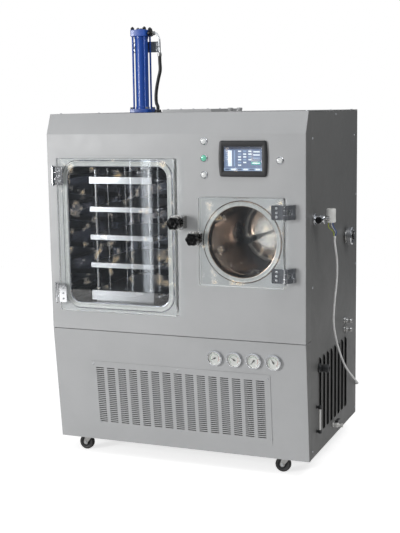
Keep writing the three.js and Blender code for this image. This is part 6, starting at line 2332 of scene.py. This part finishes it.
# ------------------------------------------------------------------ fittings on the right side
@dataclass
class SideFittings:
    """Inlet valve with its coil, vacuum port, oil connections, level tube and drain cock."""

    valve_y: float = 112.0
    valve_z: float = 955.0
    port_y: float = 600.0
    port_z: float = 835.0
    drain_y: float = 400.0
    drain_z: float = 54.0

    def build(self) -> None:
        """Make each fitting."""
        self._valve()
        self._coil()
        self._port()
        self._oil_connections()
        self._level_tube()
        self._drain()

    def _on_side(self, y: float, z: float) -> Point:
        """A point on the right side sheet."""
        return (HALF_WIDTH, y, z)

    def _valve(self) -> None:
        """Stepped chrome body with a side boss, and its black hand knob."""
        at = self._on_side(self.valve_y, self.valve_z)
        body = turned([(0, 0.3), (21.4, 0.3), (22, 0.9), (22, 5.2), (21.2, 6), (13, 6.6), (12, 7.4),
                       (12, 13.4), (13, 14.4), (16.2, 15), (17, 16), (17, 26), (16.2, 26.8), (17, 27.6),
                       (17, 41.6), (15.4, 43.8), (0, 44)], RIGHT, at, 56)
        boss = turned([(0, -2), (9, -2), (9, 20.6), (8.2, 22), (0, 22)], FRONT,
                      (HALF_WIDTH + 27, self.valve_y, self.valve_z), 40)
        add_piece("air_inlet_body", body + boss, CHROME, replaces=["inlet_valve"], slot="fitting_steel")
        spots = [(HALF_WIDTH + 5.4, self.valve_y + 17 * math.cos(a), self.valve_z + 17 * math.sin(a))
                 for a in around(12)[1::3]]
        screws = dome_screws(RIGHT, spots, 5.5, 1.6)
        add_piece("air_inlet_screws", screws, ZINC)
        def knurled(inset: float) -> Array:
            """Outline with twenty shallow flutes, drawn in by inset."""
            angle = around(120)
            return polar(angle, 13 - 0.5 * (1 - np.cos(20 * angle)) / 2 - inset)
        knob_at = (HALF_WIDTH + 27, self.valve_y, self.valve_z)
        grip = layered(knurled, [(1.2, 26.6), (0, 27.8), (0, 35), (0.8, 37), (2.6, 38.2), (6, 38.2)],
                       FRONT, knob_at)
        neck = bar(8, 22.3, 27.4, FRONT, knob_at, 0.4, 32)
        add_piece("air_inlet_knob", grip + neck, BLACK, "inlet_valve_knob", replaces=["inlet_valve_knob"],
                  slot="black_plastic")

    def _coil(self) -> None:
        """White encapsulated coil, its steel arm, three cores and the cable's ferrule."""
        x, y, z = HALF_WIDTH + 62.0, 132.0, 969.0
        coil = turned([(0, -27), (15, -27), (17.4, -25.6), (18, -23.5), (18, -15), (17.4, -14.4),
                       (17.4, -12.6), (18, -12), (18, 23.5), (17.2, 25.8), (15, 27), (6, 27), (6, 25.6),
                       (0, 25.6)],
                      UP, (x, y, z), 48)
        add_piece("inlet_coil", coil, WHITE, replaces=["solenoid_coil"], slot="white_plastic")
        cap = hexagon(12, 25, 26.9, UP, (x, y, z))
        arm = turned([(0, 44.3), (8.4, 44.3), (9, 45), (9, 60), (0, 60)], RIGHT,
                     (HALF_WIDTH, self.valve_y + 5, self.valve_z + 4), 40)
        add_piece("inlet_coil_arm", cap + arm, FITTING)
        fx, fy, fz = FERRULE
        foot = z - 27
        for name, (dx, dy), finish in (("earth_core", (-6, -4), YELLOW_WIRE),
                                       ("live_core", (5, 2), BLUE_WIRE), ("neutral_core", (0, 8), SHEATH)):
            route = [(x + dx, y + dy, foot + 3), (x + dx * 1.5, y + dy * 1.6, foot - 16),
                     (fx + dx * 0.9, fy + dy * 0.9, fz + 26), (fx + dx * 0.3, fy + dy * 0.3, fz + 6)]
            add_piece(f"coil_{name}", swept(smooth_route(route, 40), 1.8, 12), finish)
        ferrule = turned([(0, 0.3), (4.6, 0.3), (5.25, 1.2), (5.25, 7.6), (4.4, 9), (0, 9)], UP,
                         FERRULE, 36)
        add_piece("cable_ferrule", ferrule, WHITE)

    def _port(self) -> None:
        """Vacuum flange pair in a claw ring with four windows, round an open pipe."""
        at = self._on_side(self.port_y, self.port_z)
        pipe = turned([(17, -9.8), (25, -9.8), (25, 0.3), (29.4, 0.3), (30, 1), (30, 3.2), (29, 4),
                       (25.6, 4.4), (25, 5.4), (25, 11.8), (26, 13), (26, 14.4), (17.8, 32), (17, 32.2)],
                      RIGHT, at, 64)
        add_piece("vacuum_pipe", pipe, FITTING, replaces=["vacuum_port"], slot="fitting_steel")
        ring = turned([(24, 13), (37.2, 13), (38, 14), (38, 29.4), (36.6, 30.6), (32.6, 32.8), (31.4, 33),
                       (26.4, 33), (24, 32)], RIGHT, at, 72)
        claws = add_piece("vacuum_claw_ring", ring, CHROME)
        spots = [self._on_side(y, z) for y, z in corners(self.port_y, self.port_z, 20, 20)]
        bored(claws, together(bar(7.5, 8, 40, RIGHT, spot, 0.3, 28) for spot in spots))
        studs = together(bar(2.6, 14, 31, RIGHT, spot, 0.8, 16) for spot in spots)
        add_piece("vacuum_studs", studs, ZINC)

    def _oil_connections(self) -> None:
        """Black oil coupling and two steel stubs with hose barbs."""
        coupling = turned([(0, -0.4), (19, -0.4), (19, 5), (18, 6.2), (14.4, 7.6), (14, 8.6), (14, 19.4),
                           (14.6, 20.4), (16, 21.6), (16, 41), (15, 43), (9.6, 43), (9, 40), (0, 40)],
                          RIGHT, self._on_side(182, 351), 48)
        ribs = together(turned([(15.8, h), (16.6, h + 0.6), (16.6, h + 1.6), (15.8, h + 2.2)], RIGHT,
                               self._on_side(182, 351), 48) for h in (24.0, 29.0, 34.0))
        add_piece("oil_coupling", coupling + ribs, DULL_BLACK)
        for i, z in enumerate((466.0, 428.0)):
            at = self._on_side(590, z)
            stub = turned([(0, -0.4), (15, -0.4), (15, 2), (8.6, 13), (8, 14), (8, 23), (10, 26), (8.4, 29.4),
                           (9.6, 30.6), (8.2, 34), (5.6, 34), (5, 28), (0, 28)], RIGHT, at, 40)
            add_piece(f"water_stub_{i + 1}", stub + hexagon(28, 1, 11, RIGHT, at), FITTING)

    def _level_tube(self) -> None:
        """Milky level tube held in two black end fittings."""
        x, y = HALF_WIDTH + 14.0, 150.0
        tube = turned([(3.2, 96), (4.5, 96), (4.5, 200), (3.2, 200)], UP, (x, y, 0), 32)
        add_piece("level_tube", tube, WHITE)
        ends = []
        for z in (98.0, 198.0):
            ends.append(turned([(0, -7), (6.9, -7), (7.5, -6.2), (7.5, 6.2), (6.9, 7), (0, 7)], UP,
                               (x, y, z), 36))
            ends.append(turned([(0, -0.2), (7.6, -0.2), (7.6, 1.6), (5.5, 2.4), (5.5, 13), (0, 13)],
                               RIGHT, self._on_side(y, z), 36))
        add_piece("level_tube_ends", together(ends), DULL_BLACK)

    def _drain(self) -> None:
        """White drain cock with a barbed end and its quarter-turn lever."""
        at = self._on_side(self.drain_y, self.drain_z)
        cock = turned([(0, 0.3), (9.4, 0.3), (10, 1), (10, 4.4), (7.4, 6), (7.4, 8), (10.4, 11), (11, 12),
                       (11, 21.4), (10.2, 22.6), (7.2, 26.6), (6.2, 29), (6, 35.6), (8.8, 38.6), (7, 41),
                       (9, 43), (4, 43), (4, 38), (0, 38)], RIGHT, at, 40)
        add_piece("drain_cock", cock, WHITE, replaces=["drain_valve"], slot="white_plastic")
        pivot = (HALF_WIDTH + 17.0, self.drain_y, self.drain_z)
        boss = turned([(0, 11.4), (6.4, 11.4), (7, 12.2), (7, 19.4), (6.2, 20), (0, 20)], UP, pivot, 36)
        s = np.linspace(0, 1, 16)
        half = 6 - 1.6 * np.sin(np.pi * s) * 0.6
        y = self.drain_y - 6 + 40 * s
        flat = np.vstack([np.column_stack([pivot[0] - half, y]), np.column_stack([pivot[0] + half, y])[::-1]])
        middle = flat.mean(axis=0)
        levels = ((0.94, 15.2), (1.0, 15.8), (1.0, 19.0), (0.93, 19.8))
        lever = stacked([((flat - middle) * k + middle, self.drain_z + h) for k, h in levels], UP)
        add_piece("drain_cock_lever", boss + lever, DULL_BLACK, "drain_lever",
                  replaces=["drain_lever"], slot="black_plastic")


# ------------------------------------------------------------------ casters
@dataclass
class Caster:
    """One swivel caster: a fork with two raceways, an axle and a banded wheel."""

    name: str
    x: float
    y: float
    top: float = 17.0
    trail: float = 20.0
    wheel_z: float = -38.5
    radius: float = 31.5
    half: float = 12.0

    def build(self) -> None:
        """Make the fork on its swivel body and the wheel on its own."""
        self._fork()
        self._wheel()

    def _fork(self) -> None:
        """Raceway, bridge and two cheeks whose edges sweep back to the axle."""
        body = f"swivel_{self.name}"
        at = (self.x, self.y, self.top)
        race = turned([(0, -12), (24, -12), (25, -11), (25, -8.4), (23.6, -7.2), (23.6, -5.8), (25, -4.6),
                       (25, -2), (23, 0), (0, 0)], UP, at, 56)
        axle_drop = self.top - self.wheel_z
        t = np.linspace(0, 1, 10)[:, None]
        front = np.array([14.0, -10.0]) * (1 - t) ** 2 + 2 * t * (1 - t) * np.array([10.0, -34.0]) \
            + t**2 * np.array([-self.trail + 10, -axle_drop + 2])
        turn = np.linspace(0, -np.pi, 12)[1:-1, None]
        eye = np.array([-self.trail, -axle_drop]) + 10 * np.hstack([np.cos(turn), np.sin(turn)])
        back = np.array([-self.trail - 10, -axle_drop + 2]) * (1 - t) ** 2 + 2 * t * (1 - t) \
            * np.array([-22.0, -32.0]) + t**2 * np.array([-17.0, -10.0])
        plan = np.vstack([front, eye, back])
        cheeks = []
        for side in (-1, 1):
            inner, outer = sorted((side * (self.half + 1.2), side * (self.half + 4.2)))
            cheeks.append(stacked([(plan, -inner), (plan, -outer)], FRONT, at))
        bridge = block(self.x - 18, self.x + 16, self.y - 16.2, self.y + 16.2, self.top - 16,
                       self.top - 9, 2.5)
        add_piece(f"caster_{self.name}_fork", race + together(cheeks) + bridge, FITTING, body,
                  replaces=[f"caster_fork_{self.name}"], slot="fitting_steel", bevel=0.7)
        hub = (self.x - self.trail, self.y, self.wheel_z)
        axle = (bar(4, -18, 18, FRONT, hub, 0.8, 24) + hexagon(13, 16.1, 18.1, FRONT, hub)
                + hexagon(13, 16.1, 18.1, REAR, hub))
        add_piece(f"caster_{self.name}_axle", axle, ZINC, body)

    def _both_sides(self, half: list[Spot]) -> list[Spot]:
        """Complete a profile with its mirror image."""
        return half + [(radius, -height) for radius, height in half[::-1]]

    def _wheel(self) -> None:
        """Dished hub and a tyre whose tread is crowned between rounded shoulders."""
        body = f"wheel_{self.name}"
        at = (self.x - self.trail, self.y, self.wheel_z)
        r, h = self.radius, self.half
        tyre = self._both_sides([(20, -h + 2.4), (26, -h + 0.4), (29, -h + 0.6), (30.6, -h + 2),
                                 (31.3, -h + 4.4), (r, -4)])
        add_piece(f"caster_{self.name}_tyre", turned(tyre, FRONT, at, 64), TREAD, body,
                  replaces=[f"caster_wheel_{self.name}"], slot="tread")
        hub = self._both_sides([(4.6, -h), (9, -h), (9.4, -h + 1), (10.4, -h + 4.6), (17, -h + 5),
                                (18.4, -h + 2.2), (21, -h + 1.6)])
        add_piece(f"caster_{self.name}_hub", turned(hub, FRONT, at, 48), DULL_BLACK, body)


# ------------------------------------------------------------------ assembly
def machinery() -> None:
    """The three machines behind the grille, with eased edges."""
    eased_copy("compressor_can", "compressor", UNIT_PAINT, 1.0, "frame_paint")
    eased_copy("condenser_block", "condenser", FINS, 0.4, "fins")
    eased_copy("hydraulic_tank", "hydraulic_unit", TANK_PAINT, 1.5, "blue_paint")


def main() -> None:
    """Build the surroundings and cords first, then each sub-assembly."""
    logging.basicConfig(level=logging.INFO, format="%(name)s %(message)s")
    bpy.context.scene.view_settings.view_transform = "Standard"
    Studio().build()
    for part in (CABLE, PRESS_HOSE, Casing(), DryingChamber(), ColdTrap()):
        part.build()
    WindowDoor("chamber", -232, 880, 524, 626, -1, (1122, 639), 76, 34, 16, 944).build()
    WindowDoor("trap", 300, 872, 348, 348, 1, (992, 750), 56, 46, 22, 884).build()
    for part in (Controls(), PressCylinder(), SideFittings()):
        part.build()
    for name, x, y in (("front_left", -445, 110), ("rear_left", -445, 690), ("front_right", 445, 110),
                       ("rear_right", 445, 690)):
        Caster(name, x, y).build()
    machinery()


if __name__ == "__main__":
    main()
